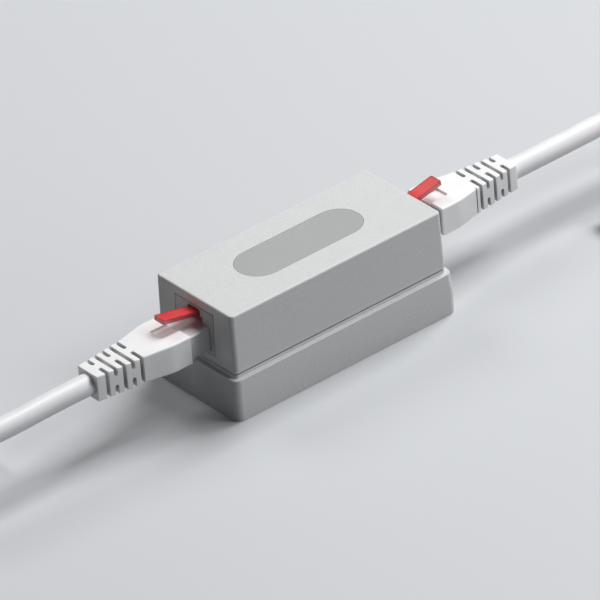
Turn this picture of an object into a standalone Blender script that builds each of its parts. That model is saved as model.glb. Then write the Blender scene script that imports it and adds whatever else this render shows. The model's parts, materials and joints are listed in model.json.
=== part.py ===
"""Network isolator with a short patch lead plugged into each end.

A two part plastic housing stands on the floor of the model, long side along X. It holds a
circuit board with a modular jack at each end and four isolation transformers between them.
Each jack carries the plug of a patch lead, with its sprung latch and its slotted boot.
Lengths are in metres, +Z is up, and the origin is the middle of the housing's underside.
Everything on the right end is modelled at +X, and the left end is the same turned half round.
"""

import math

import bmesh
import bpy
import numpy as np
from mathutils import Matrix, Vector

MM = 0.001
DEG = math.pi / 180.0

# Running gap between pieces that rest on, or slide into, each other
CLEAR = 0.3 * MM

# How finely curved outlines are cut, and how sharp an edge must be to stay crisp
CORNER_STEPS = 4
ROUND_STEPS = 16
HOLE_STEPS = 12
LEAST_CORNER = 0.2 * MM
CRISP = 35 * DEG

# Housing base
BASE_LENGTH = 75.0 * MM
BASE_WIDTH = 34.6 * MM
BASE_CORNER = 2.3 * MM
BASE_WAIST_Z = 6.1 * MM
BASE_FOOT_INSET = 0.1 * MM
LEDGE_INSET = 0.55 * MM
LEDGE_ROUND = 0.7 * MM
RIM_HEIGHT = 0.95 * MM
BASE_FLOOR = 2.0 * MM
TONGUE_HEIGHT = 1.7 * MM
TONGUE_WALL = 1.2 * MM
SILL_DEPTH = 2.4 * MM
POST_Z = 13.1 * MM

# Housing cover
SEAM_GAP = 0.55 * MM
END_SETBACK = 1.6 * MM
SIDE_SETBACK = 1.55 * MM
COVER_CORNER = 1.3 * MM
COVER_DRAFT = 0.3 * MM
COVER_HEIGHT = 17.2 * MM
COVER_WALL = 1.8 * MM
COVER_ROUND = 0.6 * MM

# Oval label let into the top
LABEL_LENGTH = 40.4 * MM
LABEL_WIDTH = 13.9 * MM
LABEL_THICKNESS = 0.4 * MM
LABEL_RECESS = 0.6 * MM
LABEL_GAP = 0.1 * MM

# Circuit board
BOARD_THICKNESS = 1.6 * MM

# Housing screws and the bosses that they join
SCREW_INSET = 6.9 * MM
SCREW_SHAFT = 2.2 * MM
SCREW_LENGTH = 19.0 * MM
SCREW_HEAD = 4.4 * MM
SCREW_HEAD_HEIGHT = 1.6 * MM
SCREW_SINK = 6.0 * MM
SCREW_CHAMFER = 0.35 * MM
SCREW_POINT = 0.8 * MM
BOSS_WALL = 0.9 * MM
BASE_BOSS_WALL = 1.6 * MM

# Board screws and the posts under them
BOARD_SCREW_INSET = 2.75 * MM
BOARD_SCREW_SHAFT = 2.0 * MM
BOARD_SCREW_LENGTH = 8.0 * MM
BOARD_SCREW_HEAD = 3.8 * MM
BOARD_SCREW_HEAD_HEIGHT = 1.3 * MM
POST_WALL = 1.2 * MM

# Modular jack
JACK_WIDTH = 16.0 * MM
JACK_DEPTH = 16.0 * MM
JACK_RECESS = 0.5 * MM
JACK_FLOOR = 1.15 * MM
JACK_ROOF = 0.9 * MM
JACK_HEADROOM = 0.7 * MM
JACK_FRONT_WALL = 1.2 * MM
JACK_EDGE = 0.3 * MM
CATCH_HEIGHT = 2.1 * MM
LATCH_SLOT_HEIGHT = 3.95 * MM
INSERT_DEPTH = 3.5 * MM
INSERT_WIDTH = 11.4 * MM
INSERT_HEIGHT = 10.4 * MM
NOSE_ROOM = 0.2 * MM
TROUGH_DEPTH = 0.8 * MM

# Eight contacts, the same pitch in the jack and in the plug
CONTACTS = 8
PITCH = 1.02 * MM
WIRE = 0.4 * MM
WIRE_BEND = 0.4 * MM
WIRE_REACH = 7.7 * MM
BLADE = 0.4 * MM
BLADE_LENGTH = 4.4 * MM
BLADE_LIFT = 1.35 * MM
SLOT = 0.7 * MM

# Modular plug
PLUG_WIDTH = 11.68 * MM
PLUG_HEIGHT = 6.8 * MM
PLUG_LENGTH = 21.5 * MM
PLUG_INSERT = 10.9 * MM
PLUG_EDGE = 0.35 * MM
PLUG_REAR_STEP = 0.55 * MM
PLUG_REAR_LENGTH = 4.2 * MM
CHANNEL_WIDTH = 10.2 * MM
CHANNEL_HEIGHT = 3.2 * MM
CHANNEL_ROOF = 0.95 * MM
NOSE_WALL = 1.0 * MM
GUIDE_LENGTH = 6.4 * MM
LUG_LENGTH = 1.6 * MM
LUG_WIDTH = 0.7 * MM
LUG_HEIGHT = 1.6 * MM

# Sprung latch, hinged at the nose of the plug
LATCH_PIVOT = 1.0 * MM
LATCH_PIVOT_RADIUS = 0.6 * MM
LATCH_REST_ANGLE = 11.4 * DEG
LATCH_THICKNESS = 1.0 * MM
LATCH_ROOT_WIDTH = 4.0 * MM
LATCH_ROOT_LENGTH = 1.3 * MM
LATCH_SHOULDER_WIDTH = 6.0 * MM
LATCH_SHOULDER_LENGTH = 8.0 * MM
LATCH_TAB_WIDTH = 3.6 * MM
LATCH_LENGTH = 22.0 * MM
LATCH_TIP_CORNER = 0.45 * MM
LATCH_EDGE = 0.15 * MM

# Boot with its slotted strain relief
PLUG_SHOWN = 6.8 * MM
BOOT_WIDTH = 14.2 * MM
BOOT_ABOVE = 1.2 * MM
BOOT_BELOW = 0.35 * MM
BOOT_CORNER = 1.0 * MM
BOOT_GRIP_LENGTH = 14.7 * MM
BOOT_GRIP_STRAIGHT = 5.5 * MM
BOOT_WAIST_WIDTH = 11.0 * MM
BOOT_WAIST_HEIGHT = 7.9 * MM
FLARE_STEPS = 3
FLARE_EASE = 0.5
BOOT_END_WIDTH = 8.0 * MM
BOOT_END_HEIGHT = 7.6 * MM
RELIEF_SLOTS = 5
RELIEF_SLOT = 1.15 * MM
RELIEF_RIB = 1.48 * MM
RELIEF_END_RIB = 2.0 * MM
BRIDGE_WIDTH = 2.2 * MM
BRIDGE_HEIGHT = 2.6 * MM
LATCH_RECESS_WIDTH = 5.0 * MM
LATCH_RECESS_LENGTH = 6.4 * MM
LATCH_RECESS_DEPTH = 0.7 * MM

# Cable, and where its far end lies: away from the near plug, to one side, and on the floor
CABLE_DIAMETER = 6.1 * MM
CABLE_LIFT = 3.75 * MM
CABLE_END_GAP = 0.5 * MM
BORE_GAP = 0.25 * MM
FAR_AWAY = 67.9 * MM
FAR_ASIDE = 18.5 * MM
FAR_REST = 0.2 * MM

# Level stretch of the right cable, then the points that it runs through on its way to the
# floor and round, chosen by hand: X from the near plug's rear, Y, and height, in millimetres
LEVEL_STRETCH = (20.0 * MM, 40.0 * MM)
ROUTE = (
    (52.5, 0.2, 20.4),
    (74.7, -0.5, 18.8),
    (86.3, 0.7, 12.8),
    (97.7, 8.7, 5.1),
    (109.5, 20.2, 3.3),
    (126.8, 23.2, 3.2),
    (138.8, 16.1, 3.2),
    (144.1, 2.5, 3.2),
    (137.8, -14.1, 3.2),
    (125.9, -20.6, 3.2),
    (106.8, -19.4, 3.5),
    (89.5, -18.5, 4.3),
    (81.3, -18.5, 4.3),
)
ROUTE_STEP = 13.0 * MM

# Parts on the board
TRANSFORMER_LENGTH = 8.6 * MM
TRANSFORMER_WIDTH = 9.4 * MM
TRANSFORMER_HEIGHT = 6.2 * MM
TRANSFORMER_EDGE = 0.5 * MM
TRANSFORMER_LEGS = 4
LEG_WIDTH = 0.7 * MM
LEG_REACH = 1.0 * MM
LEG_THICKNESS = 0.5 * MM
CAPACITOR_DIAMETER = 8.0 * MM
CAPACITOR_THICKNESS = 3.2 * MM
CAPACITOR_ROUND = 0.9 * MM
CAPACITOR_INSET = 1.5 * MM
RESISTOR_LENGTH = 2.6 * MM
RESISTOR_WIDTH = 4.6 * MM
RESISTOR_HEIGHT = 1.1 * MM
RESISTOR_EDGE = 0.15 * MM
RESISTOR_GAP = 0.6 * MM

# Heights and places that follow from the sizes above
COVER_LENGTH = BASE_LENGTH - 2 * END_SETBACK
COVER_WIDTH = BASE_WIDTH - 2 * SIDE_SETBACK
TONGUE_LENGTH = COVER_LENGTH - 2 * (COVER_WALL + CLEAR)
TONGUE_OUT_WIDTH = COVER_WIDTH - 2 * (COVER_WALL + CLEAR)
BOARD_LENGTH = TONGUE_LENGTH - 2 * (TONGUE_WALL + CLEAR)
BOARD_WIDTH = TONGUE_OUT_WIDTH - 2 * (TONGUE_WALL + CLEAR)
BOARD_Z = POST_Z + CLEAR
BOARD_TOP_Z = BOARD_Z + BOARD_THICKNESS
JACK_Z = BOARD_TOP_Z + CLEAR
PLUG_Z = JACK_Z + JACK_FLOOR + CLEAR
PLUG_TOP_Z = PLUG_Z + PLUG_HEIGHT
CATCH_Z = PLUG_TOP_Z + CATCH_HEIGHT
LATCH_SLOT_Z = PLUG_TOP_Z + LATCH_SLOT_HEIGHT
JACK_TOP_Z = LATCH_SLOT_Z + JACK_ROOF
CEILING_Z = JACK_TOP_Z + JACK_HEADROOM
COVER_TOP_Z = CEILING_Z + COVER_WALL
COVER_Z = COVER_TOP_Z - COVER_HEIGHT
RIM_Z = COVER_Z - SEAM_GAP
LEDGE_Z = RIM_Z - RIM_HEIGHT
JACK_FACE_X = COVER_LENGTH / 2 - JACK_RECESS
JACK_REAR_X = JACK_FACE_X - JACK_DEPTH
WALL_X = COVER_LENGTH / 2 - COVER_DRAFT
NOSE_X = WALL_X - PLUG_INSERT
PLUG_REAR_X = NOSE_X + PLUG_LENGTH
CHANNEL_TOP_Z = PLUG_TOP_Z - CHANNEL_ROOF
CHANNEL_Z = CHANNEL_TOP_Z - CHANNEL_HEIGHT
PIVOT = Vector((NOSE_X + LATCH_PIVOT, 0, PLUG_TOP_Z + CLEAR + LATCH_PIVOT_RADIUS))
BOOT_X = WALL_X + PLUG_SHOWN
BOOT_Z = PLUG_Z - BOOT_BELOW
BOOT_TOP_Z = PLUG_TOP_Z + BOOT_ABOVE
RELIEF_X = BOOT_X + BOOT_GRIP_LENGTH
RELIEF_PITCH = RELIEF_SLOT + RELIEF_RIB
BOOT_END_X = RELIEF_X + RELIEF_SLOTS * RELIEF_PITCH - RELIEF_RIB + RELIEF_END_RIB
CABLE_Z = PLUG_Z + CABLE_LIFT
BORE_RADIUS = CABLE_DIAMETER / 2 + BORE_GAP
FAR_SHIFT = Vector((FAR_AWAY, -FAR_ASIDE, FAR_REST - BOOT_Z))
SCREW_HOLE = SCREW_SHAFT + 2 * CLEAR
SCREW_X = COVER_LENGTH / 2 - SCREW_INSET
COVER_BOSS_RADIUS = SCREW_HOLE / 2 + BOSS_WALL
SCREW_Y = JACK_WIDTH / 2 + CLEAR + COVER_BOSS_RADIUS
BOARD_SCREW_HOLE = BOARD_SCREW_SHAFT + 2 * CLEAR

# The parts on the board share the room between the jacks evenly, in two columns on each side
COLUMN_GAP = (2 * JACK_REAR_X - 2 * TRANSFORMER_LENGTH - 2 * CAPACITOR_THICKNESS) / 5
ROW_GAP = (BOARD_WIDTH - 2 * TRANSFORMER_WIDTH) / 3
TRANSFORMER_X = (COLUMN_GAP + TRANSFORMER_LENGTH) / 2
TRANSFORMER_Y = (ROW_GAP + TRANSFORMER_WIDTH) / 2
COLUMN_X = JACK_REAR_X - COLUMN_GAP - CAPACITOR_THICKNESS / 2
CAPACITOR_Y = BOARD_WIDTH / 2 - CAPACITOR_INSET - CAPACITOR_DIAMETER / 2
BOARD_SCREW_Y = BOARD_WIDTH / 2 - BOARD_SCREW_INSET
RESISTOR_Y = BOARD_SCREW_Y - BOARD_SCREW_HEAD / 2 - RESISTOR_GAP - RESISTOR_WIDTH / 2
BOARD_SCREW_PLACES = ((COLUMN_X, -BOARD_SCREW_Y), (-COLUMN_X, BOARD_SCREW_Y))

HALF_TURN = Matrix.Rotation(math.pi, 4, "Z")
SIDES = (("right", Matrix.Identity(4)), ("left", HALF_TURN))
CUT_PAST = 1.0 * MM


def clear_scene():
    """Remove whatever the file opened with."""
    for obj in list(bpy.data.objects):
        bpy.data.objects.remove(obj, do_unlink=True)


def make_material(name, colour, roughness, metallic=0.0, transmission=0.0):
    """A plain Principled material."""
    material = bpy.data.materials.new(name)
    material.use_nodes = True
    shader = material.node_tree.nodes["Principled BSDF"]
    shader.inputs["Base Color"].default_value = (*colour, 1.0)
    shader.inputs["Roughness"].default_value = roughness
    shader.inputs["Metallic"].default_value = metallic
    shader.inputs["Transmission Weight"].default_value = transmission
    material.diffuse_color = (*colour, 1.0)
    return material


def make_materials():
    """Every material of the part, by name."""
    return {
        "housing": make_material("housing_plastic", (0.62, 0.63, 0.64), 0.45),
        "label": make_material("label_film", (0.42, 0.43, 0.43), 0.5),
        "board": make_material("board_laminate", (0.03, 0.22, 0.1), 0.4),
        "jack": make_material("jack_plastic", (0.3, 0.31, 0.33), 0.5),
        "gold": make_material("gold_plate", (0.83, 0.62, 0.25), 0.25, 1.0),
        "clear": make_material("clear_plastic", (0.78, 0.8, 0.83), 0.15, 0.0, 0.6),
        "latch": make_material("latch_plastic", (0.75, 0.03, 0.03), 0.25, 0.0, 0.4),
        "boot": make_material("boot_plastic", (0.86, 0.86, 0.86), 0.5),
        "cable": make_material("cable_jacket", (0.8, 0.81, 0.83), 0.45),
        "ferrite": make_material("moulded_case", (0.03, 0.03, 0.035), 0.5),
        "ceramic": make_material("ceramic_disc", (0.05, 0.18, 0.5), 0.4),
        "resistor": make_material("resistor_body", (0.05, 0.05, 0.05), 0.6),
        "steel": make_material("zinc_steel", (0.6, 0.6, 0.6), 0.35, 1.0),
    }


def finish(name, mesh_builder, material, place=None):
    """Turn a bmesh into a named object that is shaded smooth up to its edges."""
    bmesh.ops.recalc_face_normals(mesh_builder, faces=mesh_builder.faces)
    mesh = bpy.data.meshes.new(name)
    mesh_builder.to_mesh(mesh)
    mesh_builder.free()
    if place is not None:
        mesh.transform(place)
    mesh.materials.append(material)
    mesh.shade_smooth()
    mesh.set_sharp_from_angle(angle=CRISP)
    obj = bpy.data.objects.new(name, mesh)
    bpy.context.scene.collection.objects.link(obj)
    return obj


def combine(target, tools, operation):
    """Apply one exact Boolean of the target with each tool, and remove the tools."""
    for tool in tools:
        modifier = target.modifiers.new("combine", "BOOLEAN")
        modifier.operation = operation
        modifier.solver = "EXACT"
        modifier.object = tool
        with bpy.context.temp_override(object=target, active_object=target):
            bpy.ops.object.modifier_apply(modifier=modifier.name)
        bpy.data.objects.remove(tool, do_unlink=True)
    target.data.shade_smooth()
    target.data.set_sharp_from_angle(angle=CRISP)
    return target


def cut(target, *tools):
    """Take the tools away from the target."""
    return combine(target, tools, "DIFFERENCE")


def weld(target, *tools):
    """Make the tools one solid with the target."""
    return combine(target, tools, "UNION")


def rounded_rectangle(length, width, radius, steps=CORNER_STEPS):
    """Corner by corner outline in the XY plane, about the origin."""
    points = []
    centres = ((1, 1, 0), (-1, 1, 90), (-1, -1, 180), (1, -1, 270))
    for sign_x, sign_y, start in centres:
        for step in range(steps + 1):
            angle = (start + 90 * step / steps) * DEG
            x = sign_x * (length / 2 - radius) + radius * math.cos(angle)
            y = sign_y * (width / 2 - radius) + radius * math.sin(angle)
            points.append(Vector((x, y, 0)))
    return points


def circle(radius, steps=ROUND_STEPS):
    """Round outline in the XY plane, about the origin."""
    turns = (2 * math.pi * step / steps for step in range(steps))
    return [Vector((radius * math.cos(a), radius * math.sin(a), 0)) for a in turns]


def loft(rings):
    """A closed solid skinned over rings of equally many points."""
    builder = bmesh.new()
    made = [[builder.verts.new(point) for point in ring] for ring in rings]
    count = len(made[0])
    for lower, upper in zip(made, made[1:]):
        for index in range(count):
            after = (index + 1) % count
            builder.faces.new((lower[index], lower[after], upper[after], upper[index]))
    builder.faces.new(made[0])
    builder.faces.new(made[-1])
    return builder


def stack(levels, corner, steps=CORNER_STEPS):
    """Loft of rounded rectangles, one for each height, length and width."""
    rings = []
    for z, length, width in levels:
        shrink = (levels[0][1] - length) / 2
        radius = max(corner - max(shrink, 0), LEAST_CORNER)
        ring = rounded_rectangle(length, width, radius, steps)
        rings.append([point + Vector((0, 0, z)) for point in ring])
    return loft(rings)


def block(low, high, edge=0.0):
    """A box between two corners, with its edges eased if an edge size is given."""
    builder = bmesh.new()
    bmesh.ops.create_cube(builder, size=1.0)
    low = Vector(low)
    high = Vector(high)
    bmesh.ops.scale(builder, vec=high - low, verts=builder.verts)
    bmesh.ops.translate(builder, vec=(high + low) / 2, verts=builder.verts)
    if edge:
        bmesh.ops.bevel(builder, geom=builder.edges[:], offset=edge, segments=1, affect="EDGES")
    return builder


def turned(profile, steps=ROUND_STEPS):
    """A solid of revolution about Z from heights and radii."""
    rings = []
    for z, radius in profile:
        rings.append([point + Vector((0, 0, z)) for point in circle(radius, steps)])
    return loft(rings)


def strip(line, thickness):
    """Outline of a bent strip that follows a line of points and has a thickness."""
    above = []
    below = []
    for index, point in enumerate(line):
        along = line[min(index + 1, len(line) - 1)] - line[max(index - 1, 0)]
        across = Vector((-along.y, along.x)).normalized() * (thickness / 2)
        above.append(point + across)
        below.append(point - across)
    return above + below[::-1]


def extruded(points, thickness, axis):
    """An outline pushed half the thickness to each side along an axis."""
    half = Vector(axis) * (thickness / 2)
    return loft([[Vector(p) - half for p in points], [Vector(p) + half for p in points]])


def tool(builder, place=None):
    """A cutter or an addition that a Boolean uses up."""
    return finish("tool", builder, bpy.data.materials[0], place)


def tool_block(low, high):
    """A plain box for a Boolean."""
    return tool(block(low, high))


def tool_round(x, y, low, high, radius, steps=ROUND_STEPS):
    """A plain upright cylinder for a Boolean."""
    builder = turned(((low, radius), (high, radius)), steps)
    return tool(builder, Matrix.Translation((x, y, 0)))


def corners(x, y):
    """The four places that mirror one place in X and Y."""
    return ((x, y), (-x, y), (-x, -y), (x, -y))


def eased(z_end, length, width, radius):
    """Levels that round an upper edge over, as a quarter circle in section."""
    levels = []
    for step in range(CORNER_STEPS):
        angle = math.pi / 2 * step / (CORNER_STEPS - 1)
        inset = radius * (1 - math.cos(angle))
        z = z_end - radius + radius * math.sin(angle)
        levels.append((z, length - 2 * inset, width - 2 * inset))
    return levels


def make_base(materials):
    """Lower shell: flared foot, bright ledge, rim, tongue, sills and screw bosses."""
    foot = 2 * BASE_FOOT_INSET
    ledge = 2 * LEDGE_INSET
    levels = [
        (0, BASE_LENGTH - foot, BASE_WIDTH - foot),
        (BASE_WAIST_Z, BASE_LENGTH, BASE_WIDTH),
    ]
    levels += eased(LEDGE_Z, BASE_LENGTH - ledge, BASE_WIDTH - ledge, LEDGE_ROUND)
    levels += [
        (LEDGE_Z, COVER_LENGTH, COVER_WIDTH),
        (RIM_Z, COVER_LENGTH, COVER_WIDTH),
        (RIM_Z, TONGUE_LENGTH, TONGUE_OUT_WIDTH),
        (RIM_Z + TONGUE_HEIGHT, TONGUE_LENGTH, TONGUE_OUT_WIDTH),
    ]
    base = finish("base", stack(levels, BASE_CORNER), materials["housing"])
    well = 2 * TONGUE_WALL
    hollow = stack(
        (
            (BASE_FLOOR, TONGUE_LENGTH - well, TONGUE_OUT_WIDTH - well),
            (RIM_Z + TONGUE_HEIGHT + CUT_PAST, TONGUE_LENGTH - well, TONGUE_OUT_WIDTH - well),
        ),
        COVER_CORNER,
    )
    cut(base, tool(hollow))
    for sign in (1, -1):
        near, far = sorted((sign * (TONGUE_LENGTH / 2 - SILL_DEPTH), sign * COVER_LENGTH))
        half = JACK_WIDTH / 2 + CLEAR
        cut(base, tool_block((near, -half, JACK_Z - CLEAR), (far, half, COVER_TOP_Z)))
        make_sill(base, sign)
    for x, y in corners(SCREW_X, SCREW_Y):
        cut(base, tool_round(x, y, JACK_Z - CLEAR, COVER_TOP_Z, COVER_BOSS_RADIUS + CLEAR))
        weld(base, tool_round(x, y, BASE_FLOOR / 2, POST_Z, SCREW_HOLE / 2 + BASE_BOSS_WALL))
        head = SCREW_HEAD / 2 + CLEAR
        cut(
            base,
            tool_round(x, y, -CUT_PAST, POST_Z + CUT_PAST, SCREW_HOLE / 2, HOLE_STEPS),
            tool_round(x, y, -CUT_PAST, SCREW_SINK, head),
        )
    for x, y in BOARD_SCREW_PLACES:
        radius = BOARD_SCREW_HOLE / 2
        weld(base, tool_round(x, y, BASE_FLOOR / 2, POST_Z, radius + POST_WALL))
        floor = POST_Z - BOARD_SCREW_LENGTH
        cut(base, tool_round(x, y, floor, POST_Z + CUT_PAST, radius, HOLE_STEPS))
    return base


def make_sill(base, sign):
    """The raised lip of the base that fills the cover's opening under a jack."""
    near, far = sorted((sign * (WALL_X - SILL_DEPTH), sign * WALL_X))
    half = JACK_WIDTH / 2
    weld(base, tool_block((near, -half, BASE_WAIST_Z), (far, half, JACK_Z - CLEAR)))


def make_cover(materials):
    """Upper shell: drafted walls, eased top edge, label recess, jack openings and bosses."""
    draft = 2 * COVER_DRAFT
    levels = [(COVER_Z, COVER_LENGTH, COVER_WIDTH)]
    levels += eased(COVER_TOP_Z, COVER_LENGTH - draft, COVER_WIDTH - draft, COVER_ROUND)
    cover = finish("cover", stack(levels, COVER_CORNER), materials["housing"])
    wall = 2 * COVER_WALL
    hollow = stack(
        (
            (COVER_Z - CUT_PAST, COVER_LENGTH - wall, COVER_WIDTH - wall),
            (COVER_Z, COVER_LENGTH - wall, COVER_WIDTH - wall),
            (CEILING_Z, COVER_LENGTH - wall - draft, COVER_WIDTH - wall - draft),
        ),
        COVER_CORNER / 2,
        1,
    )
    cut(cover, tool(hollow))
    for x, y in corners(SCREW_X, SCREW_Y):
        weld(cover, tool_round(x, y, JACK_Z, CEILING_Z + COVER_WALL / 2, COVER_BOSS_RADIUS))
        tip = SCREW_SINK + SCREW_LENGTH + CLEAR
        cut(cover, tool_round(x, y, JACK_Z - CUT_PAST, tip, SCREW_HOLE / 2, HOLE_STEPS))
    for sign in (1, -1):
        near, far = sorted((sign * (COVER_LENGTH / 2 - 2 * COVER_WALL), sign * COVER_LENGTH))
        half = JACK_WIDTH / 2 + CLEAR
        low = (near, -half, COVER_Z - CUT_PAST)
        cut(cover, tool_block(low, (far, half, JACK_TOP_Z + CLEAR)))
    recess = rounded_rectangle(LABEL_LENGTH, LABEL_WIDTH, LABEL_WIDTH / 2, 8)
    middle = Vector((0, 0, COVER_TOP_Z))
    cut(cover, tool(extruded([p + middle for p in recess], 2 * LABEL_RECESS, (0, 0, 1))))
    return cover


def make_label(materials):
    """Plain oval plate that lies flush in the cover's recess."""
    gap = 2 * LABEL_GAP
    width = LABEL_WIDTH - gap
    outline = rounded_rectangle(LABEL_LENGTH - gap, width, width / 2, 8)
    middle = Vector((0, 0, COVER_TOP_Z - LABEL_THICKNESS / 2))
    shape = extruded([p + middle for p in outline], LABEL_THICKNESS, (0, 0, 1))
    return finish("label_plate", shape, materials["label"])


def make_board(materials):
    """Circuit board, notched round the housing screws and drilled for its own."""
    outline = rounded_rectangle(BOARD_LENGTH, BOARD_WIDTH, COVER_CORNER)
    middle = Vector((0, 0, BOARD_Z + BOARD_THICKNESS / 2))
    sheet = extruded([point + middle for point in outline], BOARD_THICKNESS, (0, 0, 1))
    board = finish("circuit_board", sheet, materials["board"])
    below = BOARD_Z - CUT_PAST
    above = BOARD_TOP_Z + CUT_PAST
    half = SCREW_HOLE / 2
    for x, y in corners(SCREW_X, SCREW_Y):
        near, far = sorted((y, math.copysign(BOARD_WIDTH, y)))
        notch = tool_block((x - half, near, below), (x + half, far, above))
        cut(board, tool_round(x, y, below, above, half, HOLE_STEPS), notch)
    for x, y in BOARD_SCREW_PLACES:
        cut(board, tool_round(x, y, below, above, BOARD_SCREW_HOLE / 2, HOLE_STEPS))
    return board


def make_screw(name, place, way, sizes, material):
    """Screw whose head bears on a seat and whose shaft points up or down from it."""
    shaft, length, head, head_height = sizes
    profile = (
        (-head_height, head / 2 - SCREW_CHAMFER),
        (SCREW_CHAMFER - head_height, head / 2),
        (0, head / 2),
        (0, shaft / 2),
        (length - shaft / 2, shaft / 2),
        (length, SCREW_POINT / 2),
    )
    shape = turned([(way * z, radius) for z, radius in profile], HOLE_STEPS)
    return finish(name, shape, material, Matrix.Translation(place))


def make_screws(materials):
    """Four long housing screws from below, and two short ones that hold the board."""
    sizes = (SCREW_SHAFT, SCREW_LENGTH, SCREW_HEAD, SCREW_HEAD_HEIGHT)
    for number, (x, y) in enumerate(corners(SCREW_X, SCREW_Y), 1):
        place = (x, y, SCREW_SINK - CLEAR)
        make_screw(f"housing_screw_{number}", place, 1, sizes, materials["steel"])
    sizes = (BOARD_SCREW_SHAFT, BOARD_SCREW_LENGTH, BOARD_SCREW_HEAD, BOARD_SCREW_HEAD_HEIGHT)
    for number, (x, y) in enumerate(BOARD_SCREW_PLACES, 1):
        place = (x, y, BOARD_TOP_Z + CLEAR)
        make_screw(f"board_screw_{number}", place, -1, sizes, materials["steel"])


def contact_rows():
    """The Y of each of the eight contacts."""
    return [(index - (CONTACTS - 1) / 2) * PITCH for index in range(CONTACTS)]


def make_jack(side, place, materials):
    """Jack housing: plug cavity, stepped latch slot, contact trough and open rear."""
    half = JACK_WIDTH / 2
    shell = block((JACK_REAR_X, -half, JACK_Z), (JACK_FACE_X, half, JACK_TOP_Z), JACK_EDGE)
    jack = finish(f"jack_housing_{side}", shell, materials["jack"])
    rear = NOSE_X - CLEAR - NOSE_ROOM
    outside = JACK_FACE_X + CUT_PAST
    front = JACK_FACE_X - JACK_FRONT_WALL
    plug = PLUG_WIDTH / 2 + CLEAR
    shoulder = LATCH_SHOULDER_WIDTH / 2 + CLEAR
    tab = LATCH_TAB_WIDTH / 2 + CLEAR
    roof = PLUG_TOP_Z + CLEAR
    insert_x = JACK_REAR_X + CLEAR + INSERT_DEPTH + CLEAR
    insert = INSERT_WIDTH / 2 + CLEAR
    trough = CONTACTS * PITCH / 2
    trough_z = PLUG_Z - CLEAR - TROUGH_DEPTH
    cut(
        jack,
        tool_block((rear, -plug, PLUG_Z - CLEAR), (outside, plug, roof)),
        tool_block((rear, -shoulder, roof - CLEAR), (front, shoulder, LATCH_SLOT_Z)),
        tool_block((front - CLEAR, -shoulder, roof - CLEAR), (outside, shoulder, CATCH_Z)),
        tool_block((front - CLEAR, -tab, roof - CLEAR), (outside, tab, LATCH_SLOT_Z)),
        tool_block(
            (JACK_REAR_X - CUT_PAST, -insert, JACK_Z - CUT_PAST),
            (insert_x, insert, JACK_Z + INSERT_HEIGHT + CLEAR),
        ),
        tool_block(
            (insert_x - CLEAR, -trough, trough_z),
            (NOSE_X + WIRE_REACH + 2 * CLEAR, trough, PLUG_Z),
        ),
    )
    jack.data.transform(place)
    return jack


def make_jack_contacts(side, place, materials):
    """Contact insert: a carrier block with eight spring wires bent back under the plug."""
    low = (JACK_REAR_X + CLEAR, -INSERT_WIDTH / 2, JACK_Z)
    high = (JACK_REAR_X + CLEAR + INSERT_DEPTH, INSERT_WIDTH / 2, JACK_Z + INSERT_HEIGHT)
    insert = finish(f"jack_contacts_{side}", block(low, high, JACK_EDGE), materials["gold"])
    back = Vector((high[0] - CLEAR, PLUG_Z - TROUGH_DEPTH + WIRE / 2))
    bend = Vector((NOSE_X + WIRE_REACH - WIRE_BEND - WIRE / 2, back.y + WIRE_BEND))
    line = [back]
    for step in range(CORNER_STEPS):
        angle = math.pi * (step / (CORNER_STEPS - 1) - 0.5)
        line.append(bend + Vector((math.cos(angle), math.sin(angle))) * WIRE_BEND)
    line.append(Vector((NOSE_X + NOSE_WALL, PLUG_Z + BLADE_LIFT - CLEAR - WIRE / 2)))
    for y in contact_rows():
        wire = extruded([(x, y, z) for x, z in strip(line, WIRE)], WIRE, (0, 1, 0))
        weld(insert, tool(wire))
    insert.data.transform(place)
    return insert


def make_plug(name, place, materials):
    """Clear plug body: contact slots, conductor channel, rear step and latch lugs."""
    half = PLUG_WIDTH / 2
    shell = block((NOSE_X, -half, PLUG_Z), (PLUG_REAR_X, half, PLUG_TOP_Z), PLUG_EDGE)
    plug = finish(name, shell, materials["clear"])
    lug_x = NOSE_X + LATCH_PIVOT - LUG_LENGTH / 2
    lug_y = LATCH_ROOT_WIDTH / 2 + CLEAR
    for sign in (1, -1):
        edges = sorted((sign * lug_y, sign * (lug_y + LUG_WIDTH)))
        low = (lug_x, edges[0], PLUG_TOP_Z - CLEAR)
        high = (lug_x + LUG_LENGTH, edges[1], PLUG_TOP_Z + LUG_HEIGHT)
        weld(plug, tool_block(low, high))
    channel = CHANNEL_WIDTH / 2
    cut(
        plug,
        tool_block(
            (NOSE_X + NOSE_WALL, -channel, CHANNEL_Z),
            (PLUG_REAR_X + CUT_PAST, channel, CHANNEL_TOP_Z),
        ),
        tool_block(
            (PLUG_REAR_X - PLUG_REAR_LENGTH, -PLUG_WIDTH, PLUG_Z - CUT_PAST),
            (PLUG_REAR_X + CUT_PAST, PLUG_WIDTH, PLUG_Z + PLUG_REAR_STEP),
        ),
    )
    for y in contact_rows():
        low = (NOSE_X - CUT_PAST, y - SLOT / 2, PLUG_Z - CUT_PAST)
        high = (NOSE_X + WIRE_REACH + CLEAR, y + SLOT / 2, CHANNEL_Z + CLEAR)
        cut(plug, tool_block(low, high))
    plug.data.transform(place)
    return plug


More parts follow.
